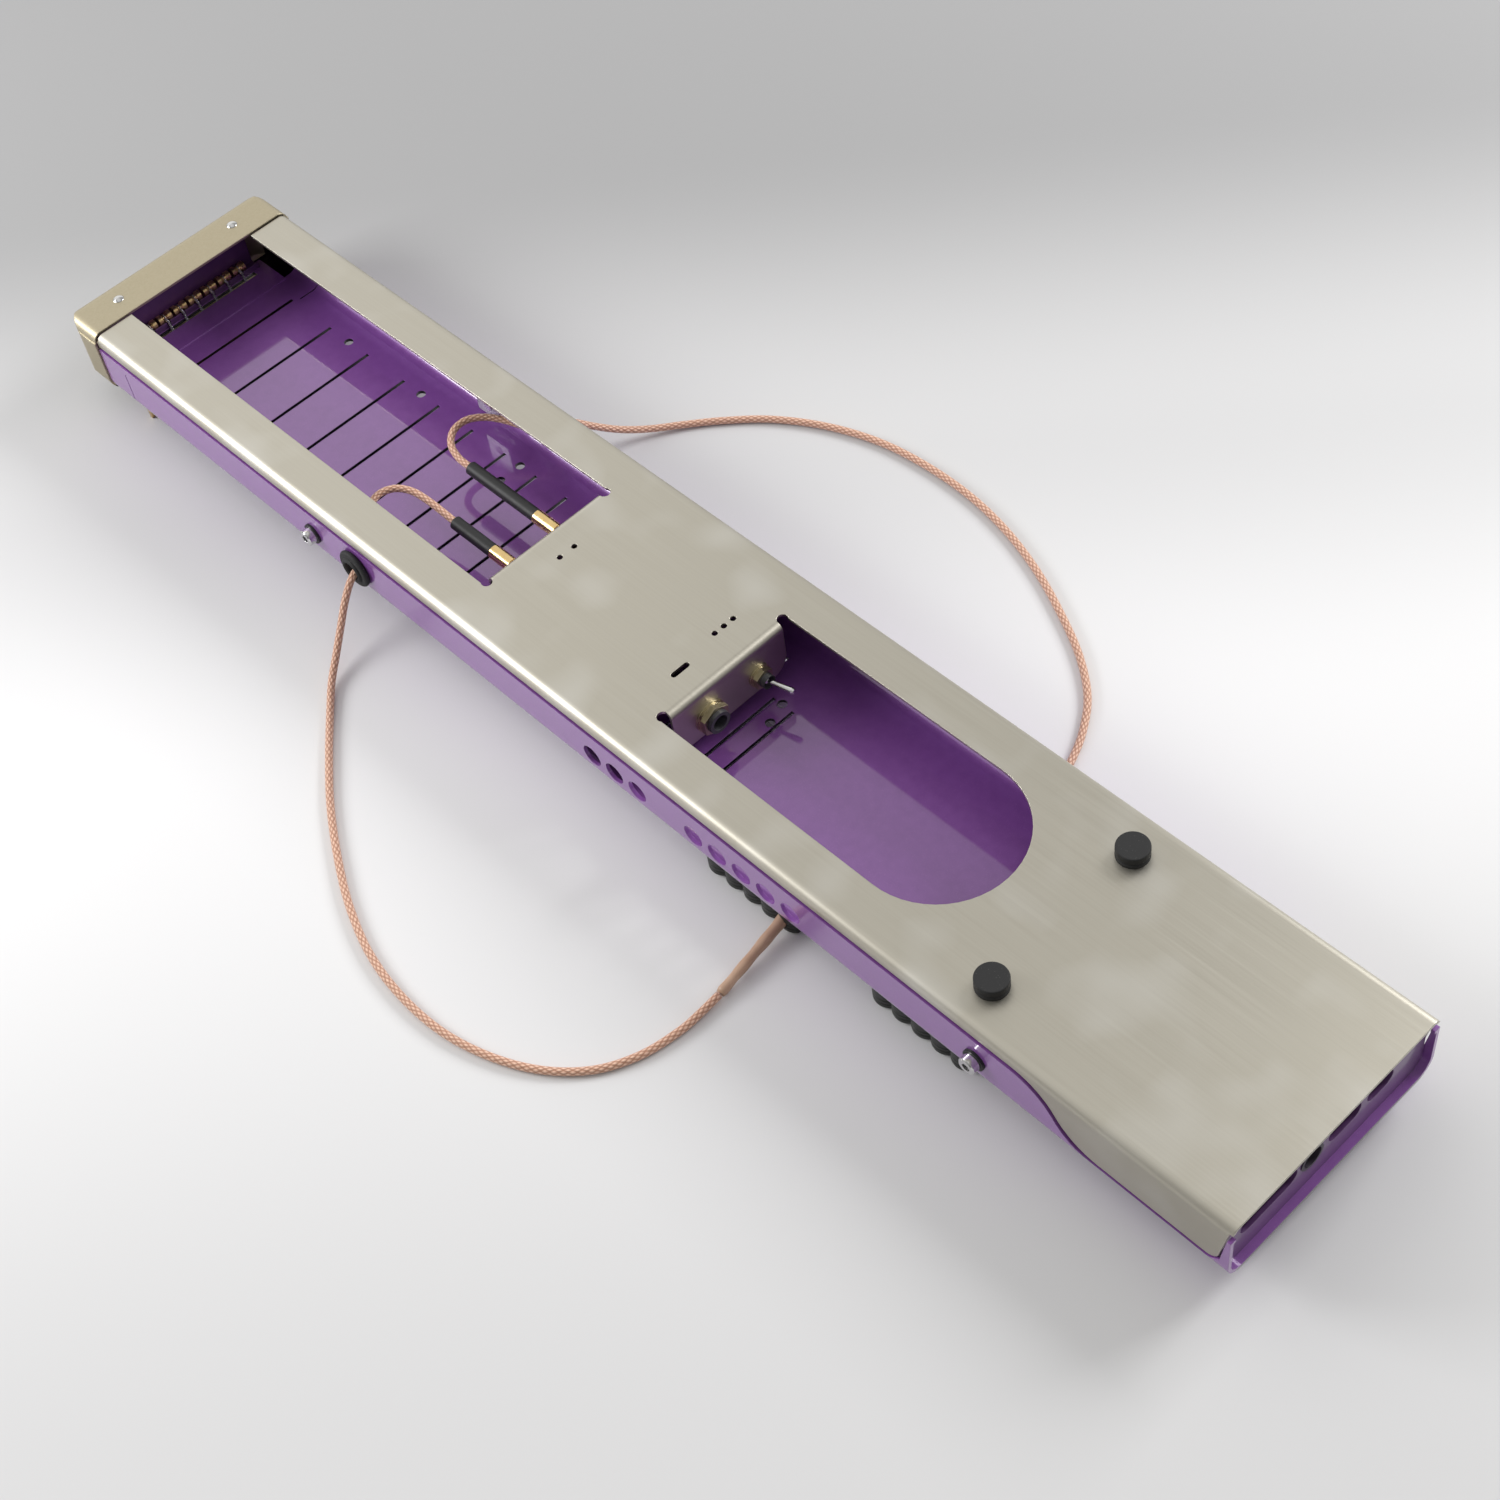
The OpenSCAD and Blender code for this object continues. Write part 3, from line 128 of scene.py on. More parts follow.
def smooth_line(points, step):
    """A line through the points with no kinks, as points about one step apart."""
    p = [place(*q) for q in points]
    p = [p[0] * 2 - p[1]] + p + [p[-1] * 2 - p[-2]]
    line = []
    for i in range(1, len(p) - 2):
        n = max(2, int((p[i + 1] - p[i]).length / step))
        for k in range(n):
            t = k / n
            line.append(0.5 * (2 * p[i] + (p[i + 1] - p[i - 1]) * t
                               + (2 * p[i - 1] - 5 * p[i] + 4 * p[i + 1] - p[i + 2]) * t * t
                               + (3 * p[i] - p[i - 1] - 3 * p[i + 1] + p[i + 2]) * t ** 3))
    line.append(p[-2])
    return line


def line_length(line):
    return sum((b - a).length for a, b in zip(line, line[1:]))


near_line = smooth_line(NEAR_ROUTE, CORD_STEP)
far_line = smooth_line(FAR_ROUTE, CORD_STEP)
print("near cord", round(line_length(near_line), 4), "m, far cord", round(line_length(far_line), 4), "m")

# %% [markdown]
# A cord is a round tube swept along its line. The tube is made point by point, because then each face
# can carry its own place around and along the cord, which the braided jacket needs. Its rings are
# turned as little as possible from one to the next, so that the braid doesn't twist. The UV map counts
# once around the cord, and along it in cord girths.

# %% Tube with a UV map


def add_mesh(name, verts, faces):
    """A piece with smooth shading, made from plain lists."""
    mesh = bpy.data.meshes.new(name)
    mesh.from_pydata([tuple(v) for v in verts], [], faces)
    mesh.validate()
    mesh.update()
    mesh.polygons.foreach_set("use_smooth", [True] * len(mesh.polygons))
    piece = bpy.data.objects.new(name, mesh)
    scene.collection.objects.link(piece)
    return piece


def rings(line, radii, sides):
    """The corners of the tube, ring after ring, and how far along in girths each ring lies."""
    across = Vector((0, 0, 1))
    verts, runs, run = [], [], 0.0
    for i, point in enumerate(line):
        ahead = (line[min(i + 1, len(line) - 1)] - line[max(i - 1, 0)]).normalized()
        across = (across - ahead * across.dot(ahead)).normalized()
        side = ahead.cross(across)
        run += (point - line[i - 1]).length if i else 0
        runs.append(run / (2 * math.pi * max(radii)))
        for k in range(sides):
            a = 2 * math.pi * k / sides
            verts.append(point + radii[i] * (math.cos(a) * across + math.sin(a) * side))
    return verts, runs


def swept_tube(name, line, radii, sides=16):
    """Closed tube along the line, with a radius for each point."""
    n = len(line)
    verts, runs = rings(line, radii, sides)
    faces = []
    for i in range(n - 1):
        for k in range(sides):
            a, b = i * sides + k, i * sides + (k + 1) % sides
            faces.append((a, b, b + sides, a + sides))
    faces += [tuple(reversed(range(sides))), tuple((n - 1) * sides + k for k in range(sides))]
    piece = add_mesh(name, verts, faces)
    uv = piece.data.uv_layers.new(name="around_along")
    for face in piece.data.polygons:
        ks = [piece.data.loops[l].vertex_index % sides for l in face.loop_indices]
        # The face that closes a ring ends at a full turn, not back at 0.
        wraps = max(ks) == sides - 1 and min(ks) == 0
        for l, k in zip(face.loop_indices, ks):
            ring = piece.data.loops[l].vertex_index // sides
            uv.data[l].uv = ((sides if wraps and k == 0 else k) / sides, runs[ring])
    return piece


cord_near = swept_tube("braided_cord_near", near_line, [CORD_D / 2] * len(near_line))
cord_far = swept_tube("braided_cord_far", far_line, [CORD_D / 2] * len(far_line))
print("cord faces:", len(cord_near.data.polygons), len(cord_far.data.polygons))

# %% [markdown]
# ## Strain reliefs
# Where a cord enters its pickup, a shrunk sleeve holds it. Shrunk tubing has soft ends and a slight
# waist, and shallow ripples run along it. A swept tube with its own radius at each point gives that
# shape at once. It stops a fraction of a millimetre before the end of its cord.

# %% Strain reliefs
SLEEVE_R = 0.0025
SLEEVE_TAPER = 0.0006
SLEEVE_WAIST = 0.00025
SLEEVE_RIPPLE = 0.00012
SLEEVE_RIPPLE_RADIANS = 21
SLEEVE_SOFT_END = 0.0004
SLEEVE_STEPS = 24
GAP_NEAR, GAP_FAR = 0.0006, 0.0007
near_root, far_root = place(399.5, -43, 4.9), place(441, 36.5, 5)


def strain_relief(name, thick_end, thin_end, body, node):
    line, radii = [], []
    for i in range(SLEEVE_STEPS + 1):
        t = i / SLEEVE_STEPS
        waist = SLEEVE_WAIST * math.sin(math.pi * t) - SLEEVE_RIPPLE * math.sin(SLEEVE_RIPPLE_RADIANS * t)
        soft_end = SLEEVE_SOFT_END if i in (0, SLEEVE_STEPS) else 0
        line.append(thick_end.lerp(thin_end, t))
        radii.append(SLEEVE_R - SLEEVE_TAPER * t - waist - soft_end)
    piece = swept_tube(name, line, radii, sides=20)
    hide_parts(node)
    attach(piece, body)
    return piece


def short_of(a, b, d):
    """The point that lies a distance before b on the way from a."""
    return b + (a - b).normalized() * d


relief_near = strain_relief("shrunk_sleeve_near", near_root, short_of(near_root, near_line[-1], GAP_NEAR),
                            "pickup_1", "relief_1")
relief_far = strain_relief("shrunk_sleeve_far", far_root, short_of(far_root, far_line[-1], GAP_FAR),
                           "pickup_2", "relief_2")
print("strain reliefs:", relief_near.name, relief_far.name)

# %% [markdown]
# A pickup can be slid along the strings, and its cord gives way. Here the cords carried over from the
# model are hidden, and each new cord keeps its shape in the frame of the solids.

# %% Cords set in place
for cord, line, route, body, relief, node in (
        (cord_near, near_line, NEAR_ROUTE, "pickup_1", relief_near, "cord_near"),
        (cord_far, far_line, FAR_ROUTE, "pickup_2", relief_far, "cord_far")):
    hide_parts(node)
    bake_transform(cord)
print("cords declared:", cord_near.name, cord_far.name)

# %% [markdown]
# ## Finishes
# Every finish below is procedural, which means that a shader's nodes work it out. Five helpers keep the
# node trees short to write: one turns a colour seen on screen into the shader's, one adds a node with
# its inputs set, one does sums, one gives the coordinates of the piece, and one lays a second colour
# over the first wherever a mask is 1.

# %% Helpers for node trees


def linear(c):
    """The standard curve between the brightness written in a picture and the real one."""
    return c / 12.92 if c <= 0.04045 else ((c + 0.055) / 1.055) ** 2.4


def tone(r, g, b):
    """A colour as seen on screen, 0 to 255, turned into the linear one that shaders use."""
    return (linear(r / 255), linear(g / 255), linear(b / 255), 1.0)


def add_node(tree, kind, inputs=None, **settings):
    """A new node, with its settings and the plain values of its inputs."""
    node = tree.nodes.new(kind)
    for key, value in settings.items():
        setattr(node, key, value)
    for socket, value in (inputs or {}).items():
        node.inputs[socket].default_value = value
    return node


def worked_out(tree, how, *terms):
    """The result of a sum, product or the like of sockets and plain numbers."""
    node = add_node(tree, "ShaderNodeMath", operation=how)
    for slot, term in enumerate(terms):
        if isinstance(term, (int, float)):
            node.inputs[slot].default_value = term
        else:
            tree.links.new(term, node.inputs[slot])
    return node.outputs[0]


def coordinates(tree, kind):
    """An output such as Object or Normal, from the one node in a tree that gives them."""
    found = [n for n in tree.nodes if n.type == "TEX_COORD"]
    return (found[0] if found else add_node(tree, "ShaderNodeTexCoord")).outputs[kind]


def laid_over(tree, mask, colour):
    """Lays a colour over the shader's own wherever the mask is 1."""
    base = tree.nodes["Principled BSDF"].inputs["Base Color"]
    over = add_node(tree, "ShaderNodeMix", {"B": colour}, data_type="RGBA")
    tree.links.new(base.links[0].from_socket, over.inputs["A"])
    tree.links.new(mask, over.inputs["Factor"])
    tree.links.new(over.outputs["Result"], base)


print("mid grey as the shaders want it:", round(tone(128, 128, 128)[0], 3))

# %% [markdown]
# One maker function keeps the finishes alike. A noise stretched to the right grain, read from the
# piece's own coordinates, drives a small change of colour, of roughness and of height. The numbers of
# a grain are repeats a metre, so 1000 makes spots of a millimetre. Specks come on top: dust on rubber,
# flakes in paint or soft clouds on metal. A bevel that acts on the shading alone rounds the edges.

# %% Maker of finishes


def finish(name, dark, light, grain, rough, metal=0.0, height=0.0, detail=4.0, edge=0.0, **constants):
    """A material between two tones and two roughnesses, with bumps and rounded edges where asked."""
    mat = bpy.data.materials.new(name)
    mat.use_nodes = True
    tree = mat.node_tree
    link = tree.links.new
    shader = tree.nodes["Principled BSDF"]
    shader.inputs["Metallic"].default_value = metal
    for socket, value in constants.items():
        shader.inputs[socket.replace("_", " ")].default_value = value
    stretch = add_node(tree, "ShaderNodeMapping", {"Scale": grain})
    noise = add_node(tree, "ShaderNodeTexNoise", {"Scale": 1.0, "Detail": detail})
    colour = add_node(tree, "ShaderNodeMix", {"A": dark, "B": light}, data_type="RGBA")
    gloss = add_node(tree, "ShaderNodeMapRange", {"To Min": rough[0], "To Max": rough[1]})
    link(coordinates(tree, "Object"), stretch.inputs["Vector"])
    link(stretch.outputs["Vector"], noise.inputs["Vector"])
    link(noise.outputs["Fac"], colour.inputs["Factor"])
    link(colour.outputs["Result"], shader.inputs["Base Color"])
    link(noise.outputs["Fac"], gloss.inputs["Value"])
    link(gloss.outputs["Result"], shader.inputs["Roughness"])
    normal = None
    if edge:
        rounded = add_node(tree, "ShaderNodeBevel", {"Radius": edge}, samples=4)
        normal = rounded.outputs["Normal"]
        link(normal, shader.inputs["Normal"])
    if height:
        bump = add_node(tree, "ShaderNodeBump", {"Distance": height, "Strength": 1.0})
        link(noise.outputs["Fac"], bump.inputs["Height"])
        if normal:
            link(normal, bump.inputs["Normal"])
        link(bump.outputs["Normal"], shader.inputs["Normal"])
    return mat


def specks(mat, colour, per_metre, amount, soft=0.06):
    """Spots of another colour, over a share of the surface and with soft or hard rims."""
    tree = mat.node_tree
    spots = add_node(tree, "ShaderNodeTexNoise", {"Scale": per_metre, "Detail": 1.0})
    cut = add_node(tree, "ShaderNodeMapRange", {"From Min": 1 - amount, "From Max": 1 - amount + soft})
    tree.links.new(coordinates(tree, "Object"), spots.inputs["Vector"])
    tree.links.new(spots.outputs["Fac"], cut.inputs["Value"])
    laid_over(tree, cut.outputs["Result"], colour)
    return mat


def dress(material, *names):
    """Gives carried-over solids their finish."""
    for name in names:
        mesh = parts[name].data
        mesh.materials.clear()
        mesh.materials.append(material)
    print(material.name, "on", len(names), "node(s)")


# %% [markdown]
# ### Sheet metal
# The back is brushed stainless steel: fine scratches along the body, so its shine spreads across them,
# which the tangent says. Hands have left it cloudy. The shell has a thin metallic paint with small
# flakes under a clear coat. A darker copy of it, with painted shade, is on the recessed tail wall and on
# the strip that holds the string ends. The cap is blasted and nickel plated, with a warm tone.

# %% Steel, paint and nickel
PAINT_GRAIN = (260, 260, 260)
brushed_steel = specks(
    finish("brushed_steel", tone(186, 181, 168), tone(195, 191, 179), (14, 1300, 1300),
           (0.36, 0.46), metal=1.0, height=0.000004, edge=0.0005, Anisotropic=0.4),
    tone(204, 201, 192), 36, 0.5, soft=0.3)
across_brush = add_node(brushed_steel.node_tree, "ShaderNodeCombineXYZ", {"Y": 1.0})
brushed_steel.node_tree.links.new(across_brush.outputs["Vector"],
                                  brushed_steel.node_tree.nodes["Principled BSDF"].inputs["Tangent"])
purple_paint = specks(
    finish("purple_paint", tone(132, 76, 156), tone(146, 90, 172), PAINT_GRAIN,
           (0.36, 0.46), metal=0.2, height=0.000006, edge=0.0005, Coat_Weight=1.0, Coat_Roughness=0.05,
           Coat_IOR=1.8),
    tone(176, 124, 198), 5200, 0.3)
# Painted shade: a darker copy of the purple paint, for the recessed tail wall and the string anchor.
purple_paint_painted_shade = specks(
    finish("purple_paint_with_painted_shade", tone(90, 52, 106), tone(104, 64, 120), PAINT_GRAIN,
           (0.4, 0.5), metal=0.2, height=0.000006, edge=0.0005, Coat_Weight=0.5, Coat_Roughness=0.1),
    tone(128, 84, 146), 5200, 0.3)
nickel = specks(
    finish("blasted_nickel", tone(178, 168, 142), tone(194, 184, 160), (900, 900, 900),
           (0.36, 0.5), metal=1.0, height=0.00001, detail=6.0, edge=0.0006),
    tone(156, 146, 120), 2500, 0.3)
dress(brushed_steel, "back_plate")
dress(purple_paint_painted_shade, "tail_wall", "string_anchor")

# %% [markdown]
# ### Painted shade on slot walls and inside the cap
# The upright cut walls of the slots in the shell are painted nearly black, and the inside of the cap is
# painted dark: both are painted shade. Both are found by their place, so that no solid has to be split:
# a mask is 1 between two values of a coordinate, and masks are joined by multiplying them.

# %% Painted shade on slot walls and inside the cap
FLOOR_LOW, FLOOR_HIGH = 0.00905, 0.01045
UPRIGHT_WITHIN = 0.2
CAP_INSIDE = place(-19.4, -49.4, 9), place(0.5, 49.4, 39.3)


def between(tree, value, low, high):
    """A mask that is 1 where the value lies between two limits."""
    return worked_out(tree, "COMPARE", value, (low + high) / 2, (high - low) / 2)


def axes_of(tree, kind):
    """The three numbers of the piece's coordinates or normals."""
    split = add_node(tree, "ShaderNodeSeparateXYZ")
    tree.links.new(coordinates(tree, kind), split.inputs["Vector"])
    return split.outputs


def slot_walls_painted_shade(mat, colour, low, high):
    """Upright faces between two heights get a nearly black painted shade."""
    tree = mat.node_tree
    floor = between(tree, axes_of(tree, "Object")["Z"], low, high)
    upright = between(tree, axes_of(tree, "Normal")["Z"], -UPRIGHT_WITHIN, UPRIGHT_WITHIN)
    laid_over(tree, worked_out(tree, "MULTIPLY", floor, upright), colour)


def painted_shade_inside(mat, colour, low, high):
    """Everything between two corners takes the colour, here a painted shade."""
    tree = mat.node_tree
    axes = axes_of(tree, "Object")
    x, y, z = (between(tree, axes[axis], a, b) for axis, a, b in zip("XYZ", low, high))
    laid_over(tree, worked_out(tree, "MULTIPLY", worked_out(tree, "MULTIPLY", x, y), z), colour)


# Painted shade: the upright cut walls of the shell's slots are painted nearly black.
slot_walls_painted_shade(purple_paint, tone(26, 18, 30), FLOOR_LOW, FLOOR_HIGH)
# Painted shade: the inside of the cap is painted dark.
painted_shade_inside(nickel, tone(34, 26, 38), *CAP_INSIDE)
dress(purple_paint, "front_shell")
dress(nickel, "head_cap")

# %% [markdown]
# ### Small metal
# Brass ball ends and nuts dull in patches, gold plate stays even, chrome is nearly a mirror, and the
# cast and milled pieces inside are grey and soft. The nuts of jack and switch are paler than brass.

# %% Brass, chrome and zinc
brass = finish("brass", tone(196, 162, 108), tone(236, 208, 156), (420, 420, 420), (0.2, 0.38),
               metal=1.0, height=0.00001, edge=0.0002)
gold = finish("gold_plate", tone(212, 178, 116), tone(238, 212, 158), (300, 300, 300), (0.16, 0.28),
              metal=1.0, edge=0.0002)
chrome = finish("chrome", tone(214, 214, 216), tone(214, 214, 212), (150, 150, 150), (0.08, 0.16),
                metal=1.0, edge=0.0003)
zinc = finish("milled_zinc", tone(150, 150, 152), tone(184, 184, 186), (60, 900, 900), (0.3, 0.45),
              metal=1.0, height=0.00001, edge=0.0003)
dark_paint = finish("dark_paint", tone(44, 38, 48), tone(58, 50, 64), (400, 400, 400), (0.4, 0.55),
                    height=0.00002, edge=0.0003)
pale_brass = finish("pale_brass", tone(168, 156, 124), tone(212, 202, 172), (420, 420, 420),
                    (0.24, 0.38), metal=1.0, edge=0.0002)
dress(brass, "ball_ends", "nut", "bridge", *[f"tuner_screw_{i}" for i in STRING_NUMBERS])
dress(pale_brass, "jack_nut", "toggle_nut")
dress(gold, "plug_near", "plug_far", "sockets")
dress(chrome, "cap_pins", "side_screws", "toggle_lever")
dress(zinc, "tuner_frame", "side_brackets", "pickup_1_core", "pickup_2_core",
      *[f"carriage_{i}" for i in STRING_NUMBERS])
dress(dark_paint, "tail_eyelet")

# %% [markdown]
# ### Strings
# A wound string has a fine wire wrapped around its core. The real wrap is thinner than a pixel, so
# shading is the right tool and geometry isn't: a wave along the body drives a small bump.

# %% Wound strings
string_steel = finish("string_steel", tone(176, 176, 178), tone(206, 206, 208), (200, 3000, 3000),
                      (0.22, 0.34), metal=1.0)
string_tree = string_steel.node_tree
wrap = add_node(string_tree, "ShaderNodeTexWave", {"Scale": 900.0})
ring_bump = add_node(string_tree, "ShaderNodeBump", {"Distance": 0.00006})
string_tree.links.new(coordinates(string_tree, "Object"), wrap.inputs["Vector"])
string_tree.links.new(wrap.outputs["Fac"], ring_bump.inputs["Height"])
string_tree.links.new(ring_bump.outputs["Normal"], string_tree.nodes["Principled BSDF"].inputs["Normal"])
dress(string_steel, "strings_head", "strings_main", "strings_tail")

# %% [markdown]
# ### Rubber and plastic
# Rubber is nearly black and matte, with a breath of dust in its pores. The pickup cases are moulded
# with a fine texture, the switch and jack bodies are smoother, and the wires have a soft jacket.

# %% Rubber and plastic
rubber = specks(
    finish("rubber", tone(20, 20, 21), tone(34, 34, 35), (700, 700, 700), (0.62, 0.8), height=0.00003,
           edge=0.0004),
    tone(120, 120, 118), 2600, 0.27)
soft_black = finish("soft_black_sleeve", tone(18, 18, 19), tone(30, 30, 31), (500, 500, 500),
                    (0.45, 0.6), height=0.00001)
moulded_black = finish("moulded_black", tone(22, 24, 22), tone(36, 38, 35), (1500, 1500, 1500),
                       (0.42, 0.58), height=0.00003, edge=0.0003)
case_grey = finish("switch_case", tone(52, 52, 56), tone(72, 72, 76), (300, 300, 300), (0.3, 0.45),
                   edge=0.0002)
relief_skin = finish("shrunk_sleeve", tone(180, 142, 116), tone(214, 182, 156), (160, 160, 160),
                     (0.26, 0.4), height=0.00003, Transmission_Weight=0.15, IOR=1.45)
wire_red = finish("wire_jacket", tone(150, 36, 32), tone(178, 48, 42), (200, 200, 200), (0.4, 0.5))
dress(rubber, "rubber_feet", "grommet_near", "grommet_far", "edge_gasket")
dress(soft_black, "sleeve_near", "sleeve_far", "screw_washers")
dress(moulded_black, "pickup_1_case", "pickup_2_case")
dress(case_grey, "jack_body", "toggle_body")
dress(wire_red, "wiring")
for piece in (relief_near, relief_far):
    piece.data.materials.append(relief_skin)

# %% [markdown]
# ### Braided jacket
# The cord's jacket is a copper coloured braid. Two sets of yarns cross on the slant, one clockwise and
# one the other way. On the UV map both are plain stripes: the size of a sine of (around + along) and
# of (around - along). Their product rises to a small crest where two yarns lie over each other and
# falls to a valley between the yarns, and it drives height and colour together: the darker valleys are
# painted shade.

# %% Braid


def braid(name, valley_painted_shade, crest, yarns, lays):
    mat = bpy.data.materials.new(name)
    mat.use_nodes = True
    tree = mat.node_tree
    shader = tree.nodes["Principled BSDF"]
    shader.inputs["Roughness"].default_value = 0.55
    shader.inputs["Sheen Weight"].default_value = 0.3
    uv = add_node(tree, "ShaderNodeUVMap", uv_map="around_along")
    split = add_node(tree, "ShaderNodeSeparateXYZ")
    tree.links.new(uv.outputs["UV"], split.inputs["Vector"])
    waves = []
    for sign in (1, -1):
        along = worked_out(tree, "MULTIPLY", split.outputs["Y"], sign * lays * math.pi)
        around = worked_out(tree, "MULTIPLY_ADD", split.outputs["X"], yarns * math.pi, along)
        waves.append(worked_out(tree, "ABSOLUTE", worked_out(tree, "SINE", around)))
    weave = worked_out(tree, "MULTIPLY", *waves)
    colour = add_node(tree, "ShaderNodeMix", {"A": valley_painted_shade, "B": crest}, data_type="RGBA")
    bump = add_node(tree, "ShaderNodeBump", {"Distance": 0.00025})
    tree.links.new(weave, colour.inputs["Factor"])
    tree.links.new(weave, bump.inputs["Height"])
    tree.links.new(colour.outputs["Result"], shader.inputs["Base Color"])
    tree.links.new(bump.outputs["Normal"], shader.inputs["Normal"])
    return mat


# The valley colour is darker than the crest: painted shade between the yarns.
copper_braid = braid("copper_braid", tone(176, 122, 96), tone(246, 206, 180), yarns=6, lays=3)
for cord in (cord_near, cord_far):
    cord.data.materials.append(copper_braid)
print("braid on", cord_near.name, "and", cord_far.name)

# %% [markdown]
# ## Knurling
# The tuning screws are turned by finger, so their heads are knurled, and so are the rings of the plugs.
# A knurl is the same small ridge repeated around an axis. Geometry Nodes suits that: a circle of points,
# a ridge on each, and everything made real at the end so that the export keeps it.

# %% Geometry Nodes tree for a knurled band


def new_tree(name, inputs):
    """A Geometry Nodes tree with named inputs, its first node and its last one."""
    tree = bpy.data.node_groups.new(name, "GeometryNodeTree")
    for title, kind, value in inputs:
        socket = tree.interface.new_socket(title, in_out="INPUT", socket_type="NodeSocket" + kind)
        if value is not None:
            socket.default_value = value
    tree.interface.new_socket("Geometry", in_out="OUTPUT", socket_type="NodeSocketGeometry")
    return tree, add_node(tree, "NodeGroupInput"), add_node(tree, "NodeGroupOutput")


def made_real(tree, given, out, instances):
    """Ends a tree: instances become plain mesh, which takes the given material."""
    real = add_node(tree, "GeometryNodeRealizeInstances")
    paint = add_node(tree, "GeometryNodeSetMaterial")
    tree.links.new(instances, real.inputs["Geometry"])
    tree.links.new(real.outputs["Geometry"], paint.inputs["Geometry"])
    tree.links.new(given.outputs["Material"], paint.inputs["Material"])
    tree.links.new(paint.outputs["Geometry"], out.inputs["Geometry"])


def knurl_tree():
    """Ridges in a circle around the body's long axis."""
    tree, given, out = new_tree("knurled_band", (
        ("Radius", "Float", 0.0035), ("Length", "Float", 0.002), ("Ridge Width", "Float", 0.0005),
        ("Ridges", "Int", 30), ("Centre", "Vector", None), ("Material", "Material", None)))
    along_body = {"Rotation": (0, math.pi / 2, 0)}
    ring = add_node(tree, "GeometryNodeMeshCircle")
    upright = add_node(tree, "GeometryNodeTransform", along_body)
    ridge = add_node(tree, "GeometryNodeMeshCylinder", {"Vertices": 6})
    lying = add_node(tree, "GeometryNodeTransform", along_body)
    scatter = add_node(tree, "GeometryNodeInstanceOnPoints")
    shift = add_node(tree, "GeometryNodeTransform")
    link = tree.links.new
    link(given.outputs["Ridges"], ring.inputs["Vertices"])
    link(given.outputs["Radius"], ring.inputs["Radius"])
    link(worked_out(tree, "MULTIPLY", given.outputs["Ridge Width"], 0.5), ridge.inputs["Radius"])
    link(given.outputs["Length"], ridge.inputs["Depth"])
    link(ridge.outputs["Mesh"], lying.inputs["Geometry"])
    link(ring.outputs["Mesh"], upright.inputs["Geometry"])
    link(upright.outputs["Geometry"], scatter.inputs["Points"])
    link(lying.outputs["Geometry"], scatter.inputs["Instance"])
    link(scatter.outputs["Instances"], shift.inputs["Geometry"])
    link(given.outputs["Centre"], shift.inputs["Translation"])
    made_real(tree, given, out, shift.outputs["Geometry"])
    return tree


knurl = knurl_tree()
print("knurl tree has", len(knurl.nodes), "nodes")

# %% [markdown]
# A tree only grows on an object that carries it as a modifier. One helper makes such an object, sets
# the inputs by their identifiers, takes the result as a plain mesh, and removes the object again. Each
# screw head gets three bands along its length, and each plug one ring.

# %% Knurled heads and plug rings
KNOB_U, KNOB_L = 561.3, 9.5
KNOB_BANDS = 3
BAND_STEP = 0.32 * KNOB_L
FIRST_BAND_U = KNOB_U + 0.8 + 0.11 * KNOB_L
PLUG_RING_U = 224.4


def grown(tree, name, material, **values):
    """Runs a tree once and keeps its result as a plain mesh."""
    seed = bpy.data.objects.new(name + "_seed", bpy.data.meshes.new(name + "_seed"))
    scene.collection.objects.link(seed)
    grow = seed.modifiers.new("grow", "NODES")
    grow.node_group = tree
    ids = {s.name: s.identifier for s in tree.interface.items_tree if s.in_out == "INPUT"}
    for key, value in values.items():
        grow[ids[key.replace("_", " ")]] = value
    grow[ids["Material"]] = material
    bpy.context.view_layer.update()
    graph = bpy.context.evaluated_depsgraph_get()
    mesh = bpy.data.meshes.new_from_object(seed.evaluated_get(graph))
    bpy.data.objects.remove(seed)
    mesh.name = name
    piece = bpy.data.objects.new(name, mesh)
    scene.collection.objects.link(piece)
    return piece


for number in STRING_NUMBERS:
    for k in range(KNOB_BANDS):
        middle = place(FIRST_BAND_U + k * BAND_STEP, string_y(number), SCREW_Z)
        band = grown(knurl, f"knurl_{number}_{k + 1}", brass, Radius=0.00342, Length=0.00206,
                     Ridge_Width=0.00046, Ridges=34, Centre=middle)
        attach(band, f"tuner_screw_{number}")
for name, y in (("near", -PLUG_Y), ("far", PLUG_Y)):
    ring = grown(knurl, f"plug_knurl_{name}", gold, Radius=0.00285, Length=0.0013, Ridge_Width=0.0004,
                 Ridges=32, Centre=place(PLUG_RING_U, y, PLUG_Z))
    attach(ring, "body")

# %% [markdown]
# ## Twisted string ends
# At the head each string is looped round the groove of its ball and wound back on itself for a few
# turns. Loop and winding are the same for all strings, so one tree makes them and sets them on a row
# of points, one for each string.

# %% Geometry Nodes tree for the string ends
BALL_U, BALL_Z = -16.6, 14
LEAD_AT, LEAD_TURN, LEAD_SQUEEZE = (0.0014, 0, -0.0002), 107, 0.4
HANG_AT, HANG_TURN = (0.0038, 0, -0.0014), 161


